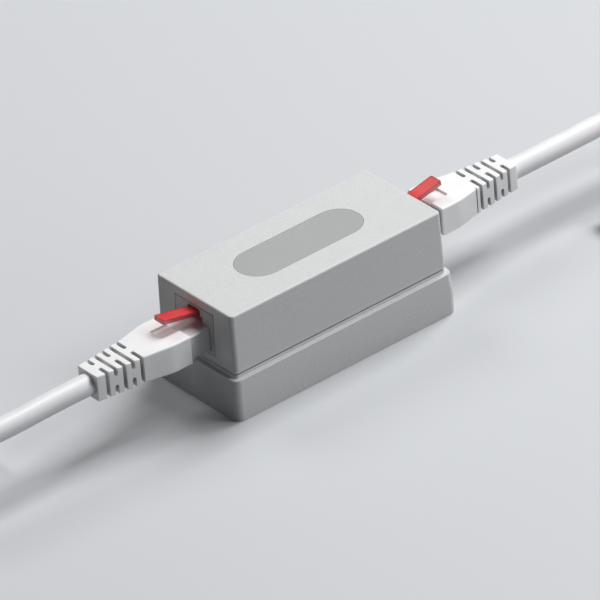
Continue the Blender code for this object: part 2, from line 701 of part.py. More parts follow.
def make_plug_contacts(name, place, materials):
    """Wire guide in the channel with the eight blades that stand down through the slots."""
    half = CHANNEL_WIDTH / 2 - CLEAR
    front = NOSE_X + NOSE_WALL + CLEAR
    low = (front, -half, CHANNEL_Z + CLEAR)
    high = (front + GUIDE_LENGTH, half, CHANNEL_TOP_Z - CLEAR)
    guide = finish(name, block(low, high), materials["gold"])
    for y in contact_rows():
        blade_low = (front + CLEAR, y - BLADE / 2, PLUG_Z + BLADE_LIFT)
        blade_high = (front + CLEAR + BLADE_LENGTH, y + BLADE / 2, low[2] + CLEAR)
        weld(guide, tool_block(blade_low, blade_high))
    guide.data.transform(place)
    return guide


def make_latch(name, place, materials):
    """Sprung latch: pivot bar, shouldered arm and finger tab, with its origin on the pivot."""
    root = LATCH_ROOT_WIDTH / 2
    shoulder = LATCH_SHOULDER_WIDTH / 2
    tab = LATCH_TAB_WIDTH / 2
    step = LATCH_SHOULDER_LENGTH + (shoulder - tab) / 2
    upper = (
        (0, root),
        (LATCH_ROOT_LENGTH, root),
        (LATCH_ROOT_LENGTH, shoulder),
        (LATCH_SHOULDER_LENGTH, shoulder),
        (step, tab),
        (LATCH_LENGTH - LATCH_TIP_CORNER, tab),
        (LATCH_LENGTH, tab - LATCH_TIP_CORNER),
    )
    outline = [(x, y, 0) for x, y in upper] + [(x, -y, 0) for x, y in reversed(upper)]
    arm = extruded(outline, LATCH_THICKNESS, (0, 0, 1))
    flat = [edge for edge in arm.edges if edge.verts[0].co.z == edge.verts[1].co.z]
    bmesh.ops.bevel(arm, geom=flat, offset=LATCH_EDGE, segments=1, affect="EDGES")
    latch = finish(name, arm, materials["latch"])
    bar = turned(((-root, LATCH_PIVOT_RADIUS), (root, LATCH_PIVOT_RADIUS)), HOLE_STEPS)
    weld(latch, tool(bar, Matrix.Rotation(math.pi / 2, 4, "X")))
    latch.data.transform(Matrix.Rotation(-LATCH_REST_ANGLE, 4, "Y"))
    latch.matrix_world = place @ Matrix.Translation(PIVOT)
    return latch


def boot_section(x):
    """Width, lowest and highest Z of the boot at a place along it."""
    along = x - BOOT_X
    middle = (BOOT_Z + BOOT_TOP_Z) / 2
    if along <= BOOT_GRIP_STRAIGHT:
        return BOOT_WIDTH, BOOT_Z, BOOT_TOP_Z
    if x <= RELIEF_X:
        share = (along - BOOT_GRIP_STRAIGHT) / (BOOT_GRIP_LENGTH - BOOT_GRIP_STRAIGHT)
        ease = share * share * (3 - 2 * share) * FLARE_EASE + share * (1 - FLARE_EASE)
        width = BOOT_WIDTH + (BOOT_WAIST_WIDTH - BOOT_WIDTH) * ease
        height = (BOOT_TOP_Z - BOOT_Z) + (BOOT_WAIST_HEIGHT - BOOT_TOP_Z + BOOT_Z) * ease
    else:
        ease = 1.0
        share = (x - RELIEF_X) / (BOOT_END_X - RELIEF_X)
        width = BOOT_WAIST_WIDTH + (BOOT_END_WIDTH - BOOT_WAIST_WIDTH) * share
        height = BOOT_WAIST_HEIGHT + (BOOT_END_HEIGHT - BOOT_WAIST_HEIGHT) * share
    centre = middle + (CABLE_Z - middle) * ease
    return width, centre - height / 2, centre + height / 2


def boot_ring(x):
    """Rounded section of the boot, standing across its length."""
    width, low, high = boot_section(x)
    ring = rounded_rectangle(width, high - low, BOOT_CORNER, CORNER_STEPS - 1)
    return [Vector((x, point.x, point.y + (low + high) / 2)) for point in ring]


def slot_outline(along, reach_from, reach_to):
    """A slot's outline with a round inner end: pairs of place along the boot and reach."""
    radius = RELIEF_SLOT / 2
    way = 1 if reach_to > reach_from else -1
    points = [(along + RELIEF_SLOT, reach_to), (along, reach_to)]
    for step in range(CORNER_STEPS + 1):
        angle = math.pi - math.pi * step / CORNER_STEPS
        x = along + radius + radius * math.cos(angle)
        points.append((x, reach_from + way * (radius - radius * math.sin(angle))))
    return points


def relief_tools():
    """Cutters for the strain relief: side slots and top and bottom slots take turns."""
    tools = []
    wide = BOOT_WIDTH
    tall = BOOT_TOP_Z - BOOT_Z
    for index in range(RELIEF_SLOTS):
        along = RELIEF_X + index * RELIEF_PITCH
        for way in (1, -1):
            if index % 2 == 0:
                pairs = slot_outline(along, way * BRIDGE_WIDTH / 2, way * wide)
                points = [(x, reach, CABLE_Z) for x, reach in pairs]
                tools.append(tool(extruded(points, 2 * tall, (0, 0, 1))))
            else:
                pairs = slot_outline(along, way * BRIDGE_HEIGHT / 2, way * tall)
                points = [(x, 0, CABLE_Z + reach) for x, reach in pairs]
                tools.append(tool(extruded(points, 2 * wide, (0, 1, 0))))
    return tools


def make_boot(name, place, materials):
    """Moulded boot: flared grip with a latch recess, then the slotted strain relief."""
    grip = BOOT_GRIP_LENGTH - BOOT_GRIP_STRAIGHT
    places = [BOOT_X, BOOT_X + BOOT_GRIP_STRAIGHT]
    places += [places[-1] + grip * (step + 1) / FLARE_STEPS for step in range(FLARE_STEPS)]
    places.append(BOOT_END_X)
    boot = finish(name, loft([boot_ring(x) for x in places]), materials["boot"])
    bore = turned(((PLUG_REAR_X - CLEAR, BORE_RADIUS), (BOOT_END_X + CUT_PAST, BORE_RADIUS)))
    lay = Matrix.Translation((0, 0, CABLE_Z)) @ Matrix.Rotation(math.pi / 2, 4, "Y")
    pocket = PLUG_WIDTH / 2 + CLEAR
    roof = PLUG_TOP_Z + CLEAR
    recess = LATCH_RECESS_WIDTH / 2
    above = BOOT_TOP_Z + CUT_PAST
    cut(
        boot,
        tool_block(
            (BOOT_X - CUT_PAST, -pocket, PLUG_Z + PLUG_REAR_STEP - CLEAR),
            (PLUG_REAR_X + CLEAR, pocket, roof),
        ),
        tool(bore, lay),
        tool_block((BOOT_X - CUT_PAST, -recess, roof - CLEAR), (PLUG_REAR_X, recess, above)),
        tool_block(
            (PLUG_REAR_X - CLEAR, -recess, BOOT_TOP_Z - LATCH_RECESS_DEPTH),
            (BOOT_X + LATCH_RECESS_LENGTH, recess, above),
        ),
        *relief_tools(),
    )
    boot.data.transform(place)
    return boot


def smooth_route(points, step):
    """Points about a step apart on the natural cubic spline through the given points."""
    spots = np.array(points)
    gaps = np.linalg.norm(np.diff(spots, axis=0), axis=1)
    slopes = np.diff(spots, axis=0) / gaps[:, None]
    system = np.eye(len(spots))
    pull = np.zeros(spots.shape)
    for index in range(1, len(spots) - 1):
        before = gaps[index - 1]
        after = gaps[index]
        system[index, index - 1 : index + 2] = before, 2 * (before + after), after
        pull[index] = 6 * (slopes[index] - slopes[index - 1])
    bends = np.linalg.solve(system, pull)
    line = []
    for index, gap in enumerate(gaps):
        pieces = max(1, round(gap / step))
        for piece in range(pieces):
            t = piece / pieces
            u = 1 - t
            curl = ((u**3 - u) * bends[index] + (t**3 - t) * bends[index + 1]) * gap**2 / 6
            line.append(Vector(u * spots[index] + t * spots[index + 1] + curl))
    line.append(Vector(spots[-1]))
    return line


def lead_route():
    """Points of the right cable, from the plug in the jack to the plug on the floor."""
    start = Vector((PLUG_REAR_X, 0, CABLE_Z))
    points = [start + Vector((along, 0, 0)) for along in (CABLE_END_GAP, *LEVEL_STRETCH)]
    points += [Vector((PLUG_REAR_X, 0, 0)) + Vector(point) * MM for point in ROUTE]
    points.append(start + FAR_SHIFT + Vector((CABLE_END_GAP, 0, 0)))
    return smooth_route(points, ROUTE_STEP)


def make_cable(side, place, materials):
    """Plain round cable from the plug in the jack to the plug on the floor."""
    line = lead_route()
    curve = bpy.data.curves.new(f"cable_{side}", "CURVE")
    curve.dimensions = "3D"
    curve.bevel_depth = CABLE_DIAMETER / 2
    curve.bevel_resolution = 3
    curve.use_fill_caps = True
    spline = curve.splines.new("POLY")
    spline.points.add(len(line) - 1)
    for point, spot in zip(spline.points, line):
        point.co = (*(place @ spot), 1.0)
    curve.materials.append(materials["cable"])
    cable = bpy.data.objects.new(f"cable_{side}", curve)
    bpy.context.scene.collection.objects.link(cable)
    return cable


def make_transformer(number, x, y, materials):
    """Moulded isolation transformer with a row of legs along each long side."""
    half = Vector((TRANSFORMER_LENGTH / 2, TRANSFORMER_WIDTH / 2 - LEG_REACH, 0))
    seat = Vector((x, y, BOARD_TOP_Z + CLEAR))
    shape = block(seat - half, seat + half + Vector((0, 0, TRANSFORMER_HEIGHT)), TRANSFORMER_EDGE)
    case = finish(f"isolation_transformer_{number}", shape, materials["ferrite"])
    pitch = TRANSFORMER_LENGTH / TRANSFORMER_LEGS
    leg = Vector((LEG_WIDTH / 2, TRANSFORMER_WIDTH / 2, 0))
    for index in range(TRANSFORMER_LEGS):
        along = (index - (TRANSFORMER_LEGS - 1) / 2) * pitch
        foot = seat + Vector((along, 0, LEG_THICKNESS))
        weld(case, tool_block(foot - leg, foot + leg + Vector((0, 0, LEG_THICKNESS))))
    return case


def make_board_parts(materials):
    """Transformers, disc capacitors and resistor packs between the jacks."""
    for number, (x, y) in enumerate(corners(TRANSFORMER_X, TRANSFORMER_Y), 1):
        make_transformer(number, x, y, materials)
    radius = CAPACITOR_DIAMETER / 2
    half = CAPACITOR_THICKNESS / 2
    profile = (
        (-half, radius - CAPACITOR_ROUND),
        (CAPACITOR_ROUND - half, radius),
        (half - CAPACITOR_ROUND, radius),
        (half, radius - CAPACITOR_ROUND),
    )
    seat = BOARD_TOP_Z + CLEAR
    size = Vector((RESISTOR_LENGTH, RESISTOR_WIDTH, RESISTOR_HEIGHT))
    for number, sign in enumerate((1, -1), 1):
        centre = (sign * COLUMN_X, sign * CAPACITOR_Y, seat + radius)
        place = Matrix.Translation(centre) @ Matrix.Rotation(math.pi / 2, 4, "Y")
        finish(f"isolation_capacitor_{number}", turned(profile), materials["ceramic"], place)
        middle = Vector((sign * COLUMN_X, -sign * RESISTOR_Y, seat + RESISTOR_HEIGHT / 2))
        shape = block(middle - size / 2, middle + size / 2, RESISTOR_EDGE)
        finish(f"resistor_pack_{number}", shape, materials["resistor"])


def make_lead(side, turn, materials):
    """One patch lead: the plug in the jack, the cable, and the plug on the floor."""
    far = turn @ Matrix.Translation(FAR_SHIFT)
    for prefix, place in (("", turn), ("far_", far)):
        make_plug(f"{prefix}plug_body_{side}", place, materials)
        make_plug_contacts(f"{prefix}plug_contacts_{side}", place, materials)
        make_latch(f"{prefix}latch_{side}", place, materials)
        make_boot(f"{prefix}boot_{side}", place, materials)
    make_cable(side, turn, materials)


def main():
    """Build the isolator and its two leads."""
    clear_scene()
    materials = make_materials()
    make_base(materials)
    make_cover(materials)
    make_label(materials)
    make_board(materials)
    make_board_parts(materials)
    make_screws(materials)
    for side, turn in SIDES:
        make_jack(side, turn, materials)
        make_jack_contacts(side, turn, materials)
        make_lead(side, turn, materials)


main()
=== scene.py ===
"""Network isolator with its two short patch leads, dressed for a still picture.

Every size is in metres. The right end is modelled first, and the left end is a copy of it
turned half round. Each lead has two ends, one in the isolator's jack and one on the floor.
"""

import json
import math

import bmesh
import bpy
import numpy as np
from mathutils import Matrix, Vector


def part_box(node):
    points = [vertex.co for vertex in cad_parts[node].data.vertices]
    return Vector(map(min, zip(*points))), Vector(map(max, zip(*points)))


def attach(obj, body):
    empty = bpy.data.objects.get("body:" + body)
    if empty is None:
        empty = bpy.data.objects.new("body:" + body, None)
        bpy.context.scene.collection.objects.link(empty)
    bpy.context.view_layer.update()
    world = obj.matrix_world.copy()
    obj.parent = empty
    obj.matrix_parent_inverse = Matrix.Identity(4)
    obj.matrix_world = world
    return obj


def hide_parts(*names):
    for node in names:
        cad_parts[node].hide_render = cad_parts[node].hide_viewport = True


bl_info = {
    "name": "Network Isolator",
    "version": (1, 0, 0),
    "blender": (4, 5, 0),
    "location": "View3D > Sidebar > Isolator",
    "description": "Models the housing, jacks and patch leads of a network isolator",
    "category": "Object",
}

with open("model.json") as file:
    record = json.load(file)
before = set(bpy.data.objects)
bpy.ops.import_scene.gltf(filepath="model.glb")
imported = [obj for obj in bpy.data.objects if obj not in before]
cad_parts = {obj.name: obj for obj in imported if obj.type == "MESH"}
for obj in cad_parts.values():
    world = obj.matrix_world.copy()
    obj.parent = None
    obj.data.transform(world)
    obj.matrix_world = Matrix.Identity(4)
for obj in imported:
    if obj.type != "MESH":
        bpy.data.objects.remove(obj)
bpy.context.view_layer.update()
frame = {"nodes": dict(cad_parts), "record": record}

MM = 0.001
DEG = math.pi / 180.0
HALF_TURN = Matrix.Rotation(math.pi, 4, "Z")
SIDES = {"right": Matrix.Identity(4), "left": HALF_TURN}
TO_FAR_END = Matrix.Translation(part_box("far_plug_body_right")[0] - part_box("plug_body_right")[0])
SIDE_PLACES = {"{}_" + side: place for side, place in SIDES.items()}
FAR_PLACES = {"far_{}_" + side: place @ TO_FAR_END for side, place in SIDES.items()}
PLUG_PLACES = {**SIDE_PLACES, **FAR_PLACES}

# How far cutters run past a surface and posts run into one, and what counts as the same place
CUT_PAST = 1.0 * MM
SUNK = 1.0 * MM
NEAR = 0.05 * MM
HAIR = 0.001 * MM
LEVEL_WITHIN = 0.02 * MM
MERGE_WITHIN = 0.002 * MM

# Cosines past which an edge runs along an axis and a face points a way
ALONG = 0.9
FACING = 0.95

# Angles past which an edge is rounded, and past which it stays crisp in the shading
ROUNDED = 40 * DEG
CRISP = 50 * DEG

# Housing
CLEAR = 0.3 * MM
COVER_DRAFT = 0.3 * MM
COVER_WALL = 1.8 * MM
HOUSING_EDGE = 0.12 * MM
OPENING_GAP = 0.08 * MM
LABEL_GAP = 0.1 * MM
LABEL_RECESS = 0.6 * MM
LABEL_EDGE = 0.08 * MM
WAIST_Z = 6.1 * MM
LEDGE_Z = 12.2 * MM
RIM_Z = 13.15 * MM
BASE_CORNER = 2.3 * MM
FOOT_INSET = 0.1 * MM
LEDGE_INSET = 0.42 * MM
LEDGE_ROUND = 0.2 * MM
TONGUE_WALL = 1.2 * MM
TONGUE_CORNER = 0.1 * MM
HOLLOW_CORNER = 0.3 * MM
SILL_DEPTH = 2.4 * MM
SILL_ABOVE_TONGUE = 0.15 * MM
BASE_FLOOR = 2.0 * MM

# Screws, their bosses and the board's posts. The first two sizes are in millimetres
SCREW_X = 29.0
SCREW_Y = 10.6
SCREW_SPOTS = [
    Vector((x, y, 0)) * MM for x in (SCREW_X, -SCREW_X) for y in (SCREW_Y, -SCREW_Y)
]
SCREW_SINK = 6.0 * MM
SCREW_TIP = 25.3 * MM
HOLE_RADIUS = 1.4 * MM
HEAD_RADIUS = 2.5 * MM
BOSS_RADIUS = 2.3 * MM
BOSS_FOOT = 15.3 * MM
BASE_BOSS_RADIUS = 3.0 * MM
POST_Z = 13.1 * MM
POST_RADIUS = 2.5 * MM
POST_HOLE = 1.3 * MM
POST_FLOOR = 5.1 * MM
CROSS_REACH = 1.3 * MM
CROSS_WIDTH = 0.42 * MM
CROSS_DEPTH = 0.9 * MM
SCREW_EDGE = 0.06 * MM

# Plug that is in the right jack
PLUG_LOW, PLUG_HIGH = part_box("plug_body_right")
PLUG_HEIGHT = 6.8 * MM
PLUG_TOP = PLUG_LOW.z + PLUG_HEIGHT
PLUG_EDGE = 0.35 * MM
NOSE_WALL = 1.0 * MM
CHANNEL_HALF = 5.1 * MM
CHANNEL_HEIGHT = 3.2 * MM
CHANNEL_ROOF = 0.95 * MM
CHANNEL_TOP = PLUG_TOP - CHANNEL_ROOF
CHANNEL_FLOOR = CHANNEL_TOP - CHANNEL_HEIGHT
REAR_STEP = 0.55 * MM
REAR_LENGTH = 4.2 * MM
CONTACTS = 8
PITCH = 1.02 * MM
SLOT_HALF = 0.35 * MM
SLOT_LENGTH = 8.0 * MM
LUG_HALF = 0.8 * MM
LUG_NEAR = 2.3 * MM
LUG_FAR = 3.0 * MM
CABLE_Z = 20.5 * MM

# Latch
PIVOT = Vector((25.7, 0.0, 24.45)) * MM
LATCH_ANGLE = -11.4 * DEG
LATCH_LENGTH = 22.0 * MM
LATCH_THICKNESS = 1.1 * MM
LATCH_HALF = 3.0 * MM
ROOT_HALF = 2.0 * MM
ROOT_LENGTH = 1.3 * MM
SHOULDER_LENGTH = 8.0 * MM
TAB_HALF = 2.08 * MM
TAB_CORNER = 0.5 * MM
LATCH_EDGE = 0.16 * MM
BAR_RADIUS = 0.6 * MM

# Jack opening above the plug, a little wider than the latch
LATCH_SLOT_HALF = 2.4 * MM
LATCH_SLOT_HEIGHT = 3.95 * MM
LATCH_SLOT_TOP = PLUG_TOP + LATCH_SLOT_HEIGHT
JACK_FRONT_WALL = 1.2 * MM
JACK_EDGE = 0.15 * MM
JACK_FORWARD = 0.35 * MM
INSERT_FRONT = 3.85 * MM

# Boot
BOOT_LOW, BOOT_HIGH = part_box("boot_right")
BOOT_OUTWARD = 0.45 * MM
BOOT_FRONT = BOOT_LOW.x + BOOT_OUTWARD
BOOT_REAR = BOOT_HIGH.x + BOOT_OUTWARD
BOOT_CORNER = 0.4 * MM
BOOT_EDGE = 0.13 * MM
GRIP_STRAIGHT = 5.5 * MM
GRIP_LENGTH = 14.7 * MM
GRIP_STEPS = 6
WAIST_SIZE = (11.0 * MM, 7.9 * MM)
END_SIZE = (8.0 * MM, 7.6 * MM)
BORE_RADIUS = 3.06 * MM
POCKET_GAP = 0.3 * MM
RECESS_HALF = 2.5 * MM
RECESS_LENGTH = 6.4 * MM
RECESS_DEPTH = 0.7 * MM
RECESS_ROOF = 0.1 * MM
RELIEF_SLOTS = 5
RELIEF_SLOT = 1.15 * MM
RELIEF_PITCH = 2.63 * MM
BRIDGE_HALF_WIDTH = 1.1 * MM
BRIDGE_ABOVE = 1.65 * MM
BRIDGE_BELOW = 0.9 * MM
SLOT_ROUND = RELIEF_SLOT / 2 - NEAR / 10
SLOT_REACH = 12.0 * MM
GROOVE_AT = 13.3 * MM
GROOVE_WIDTH = 0.35 * MM
GROOVE_DEPTH = 0.35 * MM

# Points that the right cable runs through, in millimetres. They are the same as the solid's
ROUTE = (
    (46.7, 0.0, 20.5),
    (66.2, 0.0, 20.5),
    (86.2, 0.0, 20.5),
    (98.7, 0.2, 20.4),
    (120.9, -0.5, 18.8),
    (132.5, 0.7, 12.8),
    (143.9, 8.7, 5.1),
    (155.7, 20.2, 3.3),
    (173.0, 23.2, 3.2),
    (185.0, 16.1, 3.2),
    (190.3, 2.5, 3.2),
    (184.0, -14.1, 3.2),
    (172.1, -20.6, 3.2),
    (153.0, -19.4, 3.5),
    (135.7, -18.5, 4.3),
    (127.5, -18.5, 4.3),
    (114.6, -18.5, 4.3),
)
ROUTE_STEP = 3.0 * MM

# Stage. The lamps are given as name, place, size, power and colour
CAMERA_AIM = Vector((2.64, 5.03, 9.55)) * MM
SENSOR_WIDTH = 36.0
VIEW_REACH = 20.0
FLOOR_SIZE = 6.0
FLOOR_DROP = 0.05 * MM
SKY_COLOUR = (0.93, 0.95, 1.0, 1.0)
SKY_STRENGTH = 0.05
WHITE = (1.0, 1.0, 1.0)
LAMPS = (
    ("key", (0.75, 0.05, 1.25), 0.7, 18.0, WHITE),
    ("rim", (0.76, -0.8, 1.0), 0.5, 5.0, WHITE),
    ("back", (-0.1, 1.0, 1.1), 0.6, 5.0, WHITE),
    ("side", (0.75, -1.0, 0.15), 0.8, 4.2, (0.93, 0.965, 1.0)),
)

# Share of the floor's light that isn't thrown back at the object
FLOOR_HOLDS_BACK = 0.64

# Colour sockets of a mix node
MIX_FIRST = 6
MIX_SECOND = 7
MIX_RESULT = 2

# Colours that no panel changes
JACK_COLOUR = (0.52, 0.53, 0.54)
INSERT_COLOUR = (0.05, 0.05, 0.055)
GUIDE_COLOUR = (0.75, 0.76, 0.77)
BOARD_COLOUR = (0.02, 0.16, 0.07)
CASE_COLOUR = (0.02, 0.02, 0.022)
CERAMIC_COLOUR = (0.04, 0.14, 0.42)
GOLD_COLOUR = (0.86, 0.62, 0.25)
ZINC_COLOUR = (0.58, 0.58, 0.57)
CLEAR_COLOUR = (0.93, 0.945, 0.965)
RUBBED_ROUGHNESS = 0.3


class HousingSettings(bpy.types.PropertyGroup):
    """Sizes and colours of the housing that may be changed."""

    shell_colour: bpy.props.FloatVectorProperty(
        name="Shell colour",
        description="Colour of the moulded base and cover",
        subtype="COLOR",
        default=(0.72, 0.73, 0.725),
        min=0.0,
        max=1.0,
    )
    label_colour: bpy.props.FloatVectorProperty(
        name="Label colour",
        description="Colour of the oval plate on top",
        subtype="COLOR",
        default=(0.43, 0.44, 0.44),
        min=0.0,
        max=1.0,
    )
    corner_radius: bpy.props.FloatProperty(
        name="Corner radius",
        description="Radius of the cover's upright corners",
        subtype="DISTANCE",
        unit="LENGTH",
        default=1.3 * MM,
        min=0.2 * MM,
        max=4.0 * MM,
    )
    top_round: bpy.props.FloatProperty(
        name="Top round",
        description="Radius of the cover's top edge",
        subtype="DISTANCE",
        unit="LENGTH",
        default=0.6 * MM,
        min=0.1 * MM,
        max=1.5 * MM,
    )
    grain_depth: bpy.props.FloatProperty(
        name="Grain depth",
        description="Depth of the fine texture that the mould leaves",
        subtype="DISTANCE",
        unit="LENGTH",
        default=0.03 * MM,
        min=0.0,
        max=0.1 * MM,
    )


class LeadSettings(bpy.types.PropertyGroup):
    """Sizes and colours of the patch leads that may be changed."""

    boot_colour: bpy.props.FloatVectorProperty(
        name="Boot colour",
        description="Colour of the moulded boots",
        subtype="COLOR",
        default=(0.92, 0.92, 0.92),
        min=0.0,
        max=1.0,
    )
    cable_colour: bpy.props.FloatVectorProperty(
        name="Cable colour",
        description="Colour of the cable jackets",
        subtype="COLOR",
        default=(0.84, 0.845, 0.86),
        min=0.0,
        max=1.0,
    )
    latch_colour: bpy.props.FloatVectorProperty(
        name="Latch colour",
        description="Colour of the sprung latches",
        subtype="COLOR",
        default=(0.92, 0.07, 0.075),
        min=0.0,
        max=1.0,
    )
    cable_diameter: bpy.props.FloatProperty(
        name="Cable diameter",
        description="Outer diameter of the cable jackets",
        subtype="DISTANCE",
        unit="LENGTH",
        default=6.1 * MM,
        min=3.0 * MM,
        max=8.0 * MM,
    )


class StageSettings(bpy.types.PropertyGroup):
    """The camera, floor and lamps."""

    azimuth: bpy.props.FloatProperty(
        name="Azimuth",
        description="How far the camera stands round to the left",
        subtype="ANGLE",
        unit="ROTATION",
        default=-37.1 * DEG,
    )
    elevation: bpy.props.FloatProperty(
        name="Elevation",
        description="How high the camera stands",
        subtype="ANGLE",
        unit="ROTATION",
        default=32.5 * DEG,
    )
    roll: bpy.props.FloatProperty(
        name="Roll",
        description="How far the camera leans",
        subtype="ANGLE",
        unit="ROTATION",
        default=4.86 * DEG,
    )
    distance: bpy.props.FloatProperty(
        name="Distance",
        description="From the camera to the middle of the picture",
        subtype="DISTANCE",
        unit="LENGTH",
        default=2.087,
        min=0.2,
    )
    focal_length: bpy.props.FloatProperty(
        name="Focal length",
        description="Of the camera, in millimetres",
        unit="CAMERA",
        default=477.0,
        min=20.0,
        max=1000.0,
    )
    floor_colour: bpy.props.FloatVectorProperty(
        name="Floor colour",
        description="Colour of the floor",
        subtype="COLOR",
        default=(0.62, 0.635, 0.655),
        min=0.0,
        max=1.0,
    )


# Selecting and shaping


def leave_edit_mode():
    """Back to object mode with nothing selected."""
    if bpy.context.object and bpy.context.object.mode != "OBJECT":
        bpy.ops.object.mode_set(mode="OBJECT")
    bpy.ops.object.select_all(action="DESELECT")


def take_up(piece):
    """Make one piece the selected and active one."""
    leave_edit_mode()
    piece.select_set(True)
    bpy.context.view_layer.objects.active = piece


def at_height(z):
    """Step straight up to a height."""
    return Vector((0, 0, z))


def apply_place():
    """Put the selected piece's place, turn and size into its mesh."""
    bpy.ops.object.transform_apply(location=True, rotation=True, scale=True)


def add_block(name, low, high):
    """A box between two corners, with its place and size in its mesh."""
    leave_edit_mode()
    low = Vector(low)
    high = Vector(high)
    bpy.ops.mesh.primitive_cube_add(size=1, location=(low + high) / 2, scale=high - low)
    block = bpy.context.object
    block.name = name
    apply_place()
    return block


def add_rod(name, start, end, radius, sides=32):
    """A cylinder between two points, with its place in its mesh."""
    leave_edit_mode()
    start = Vector(start)
    end = Vector(end)
    along = end - start
    turn = along.to_track_quat("Z", "Y").to_euler()
    bpy.ops.mesh.primitive_cylinder_add(
        vertices=sides,
        radius=radius,
        depth=along.length,
        location=(start + end) / 2,
        rotation=turn,
    )
    rod = bpy.context.object
    rod.name = name
    apply_place()
    return rod


def rod_up(name, spot, low, high, radius):
    """An upright cylinder at a spot on the ground, between two heights."""
    return add_rod(name, spot + at_height(low), spot + at_height(high), radius)


def choose(piece, kind, test):
    """Enter edit mode and select just the faces, edges or corners that pass a test."""
    if piece.mode != "EDIT":
        take_up(piece)
        bpy.ops.object.mode_set(mode="EDIT")
    bpy.ops.mesh.select_mode(type=kind)
    bpy.ops.mesh.select_all(action="DESELECT")
    shape = bmesh.from_edit_mesh(piece.data)
    for item in {"FACE": shape.faces, "EDGE": shape.edges, "VERT": shape.verts}[kind]:
        if test(item):
            item.select_set(True)
    bmesh.update_edit_mesh(piece.data)


def runs_along(axis):
    """Test for edges that run along an axis."""

    def test(edge):
        direction = (edge.verts[0].co - edge.verts[1].co).normalized()
        return abs(direction[axis]) > ALONG

    return test


def faces_way(x, y, z):
    """Test for faces whose normal points a way."""
    direction = Vector((x, y, z))
    return lambda face: face.normal.dot(direction) > FACING


def upright_past(x):
    """Test for upright edges that are further along X than a place."""
    upright = runs_along(2)
    return lambda edge: upright(edge) and edge.verts[0].co.x > x


def edges_at_height(z):
    """Test for edges that lie level at a height."""
    return lambda edge: all(abs(vert.co.z - z) < LEVEL_WITHIN for vert in edge.verts)


def round_edges(piece, test, radius, segments):
    """Bevel the edges that pass a test."""
    choose(piece, "EDGE", test)
    bpy.ops.mesh.bevel(offset=radius, segments=segments, profile=0.5, clamp_overlap=True)
    leave_edit_mode()


def extrude_chosen(x, y, z):
    """Pull the selected face out by a distance."""
    bpy.ops.mesh.extrude_region_move(TRANSFORM_OT_translate={"value": (x, y, z)})


def resize_chosen(x, y, z, centre):
    """Scale what is selected about a point."""
    bpy.ops.transform.resize(value=(x, y, z), center_override=centre)


def draw_in(inset, half, z):
    """Draw what is selected, with its half sizes and height given, in on every side."""
    resize_chosen(1 - inset / half.x, 1 - inset / half.y, 1, at_height(z))


def apply_modifier(piece, kind, **values):
    """Add a modifier with these values and apply it."""
    take_up(piece)
    modifier = piece.modifiers.new(kind.lower(), kind)
    for key, value in values.items():
        setattr(modifier, key, value)
    bpy.ops.object.modifier_apply(modifier=modifier.name)


def carve(piece, *cutters, operation="DIFFERENCE"):
    """Take cutters away from a piece, or add them to it, and remove them."""
    for cutter in cutters:
        apply_modifier(piece, "BOOLEAN", object=cutter, operation=operation, solver="EXACT")
        bpy.data.objects.remove(cutter, do_unlink=True)
    return piece


def join(piece, *parts):
    """Make parts one with a piece."""
    carve(piece, *parts, operation="UNION")


def soften(piece, width, segments=2):
    """Round every crisp edge a little, and shade the piece smooth."""
    apply_modifier(
        piece,
        "BEVEL",
        width=width,
        segments=segments,
        limit_method="ANGLE",
        angle_limit=ROUNDED,
        use_clamp_overlap=True,
        miter_outer="MITER_ARC",
    )
    return shade_by_face(piece)


def shade_by_face(piece):
    """Shade smooth round the soft edges, and leave the broad faces flat."""
    take_up(piece)
    bpy.ops.object.shade_smooth_by_angle(angle=CRISP)
    apply_modifier(piece, "WEIGHTED_NORMAL", mode="FACE_AREA", weight=50, keep_sharp=True)
    return piece


def placed_copy(piece, name, place):
    """A copy with its own mesh, put in place with its object left at the origin."""
    take_up(piece)
    bpy.ops.object.duplicate()
    copy = bpy.context.object
    copy.name = name
    copy.matrix_world = place
    apply_place()
    return copy


def merged_copy(node, name):
    """A copy of a solid of the frame with its loose triangles joined up."""
    take_up(frame["nodes"][node])
    bpy.ops.object.duplicate()
    copy = bpy.context.object
    copy.name = name
    for key in list(copy.keys()):
        del copy[key]
    copy.parent = None
    bpy.ops.object.mode_set(mode="EDIT")
    bpy.ops.mesh.select_all(action="SELECT")
    bpy.ops.mesh.remove_doubles(threshold=MERGE_WITHIN)
    bpy.ops.mesh.tris_convert_to_quads()
    bpy.ops.mesh.customdata_custom_splitnormals_clear()
    leave_edit_mode()
    return copy


def body_of(node):
    """Name of the moving body that a solid belongs to."""
    for body, members in frame["record"]["behaviour"]["bodies"].items():
        if node in members:
            return body
    raise RuntimeError(f"no body holds {node}")


def give(piece, finish, node):
    """Give a piece its finish and the body it rides on, and hide the solid that it stands for."""
    if finish:
        piece.data.materials.clear()
        piece.data.materials.append(surface(finish))
    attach(piece, body_of(node))
    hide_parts(node)


def copy_to_places(model, kind, finish, places):
    """Put a copy of a model in each of its places, and remove the model."""
    for pattern, place in places.items():
        node = pattern.format(kind)
        give(placed_copy(model, node + "_shape", place), finish, node)
    bpy.data.objects.remove(model, do_unlink=True)


# Materials


def start_material(name):
    """A new material with its node tree, shader and object coordinates."""
    material = bpy.data.materials.new(name)
    material.use_nodes = True
    tree = material.node_tree
    shader = tree.nodes["Principled BSDF"]
    place = tree.nodes.new("ShaderNodeTexCoord")
    return material, tree, shader, place.outputs["Object"]


def set_values(node, values):
    """Set sockets of a node by their names."""
    for name, value in values.items():
        node.inputs[name].default_value = value


def add_noise(tree, place, size, detail=2.0, roughness=0.5):
    """Noise whose blotches are about a size across."""
    noise = tree.nodes.new("ShaderNodeTexNoise")
    set_values(noise, {"Scale": 1.0 / size, "Detail": detail, "Roughness": roughness})
    tree.links.new(place, noise.inputs["Vector"])
    return noise.outputs["Fac"]


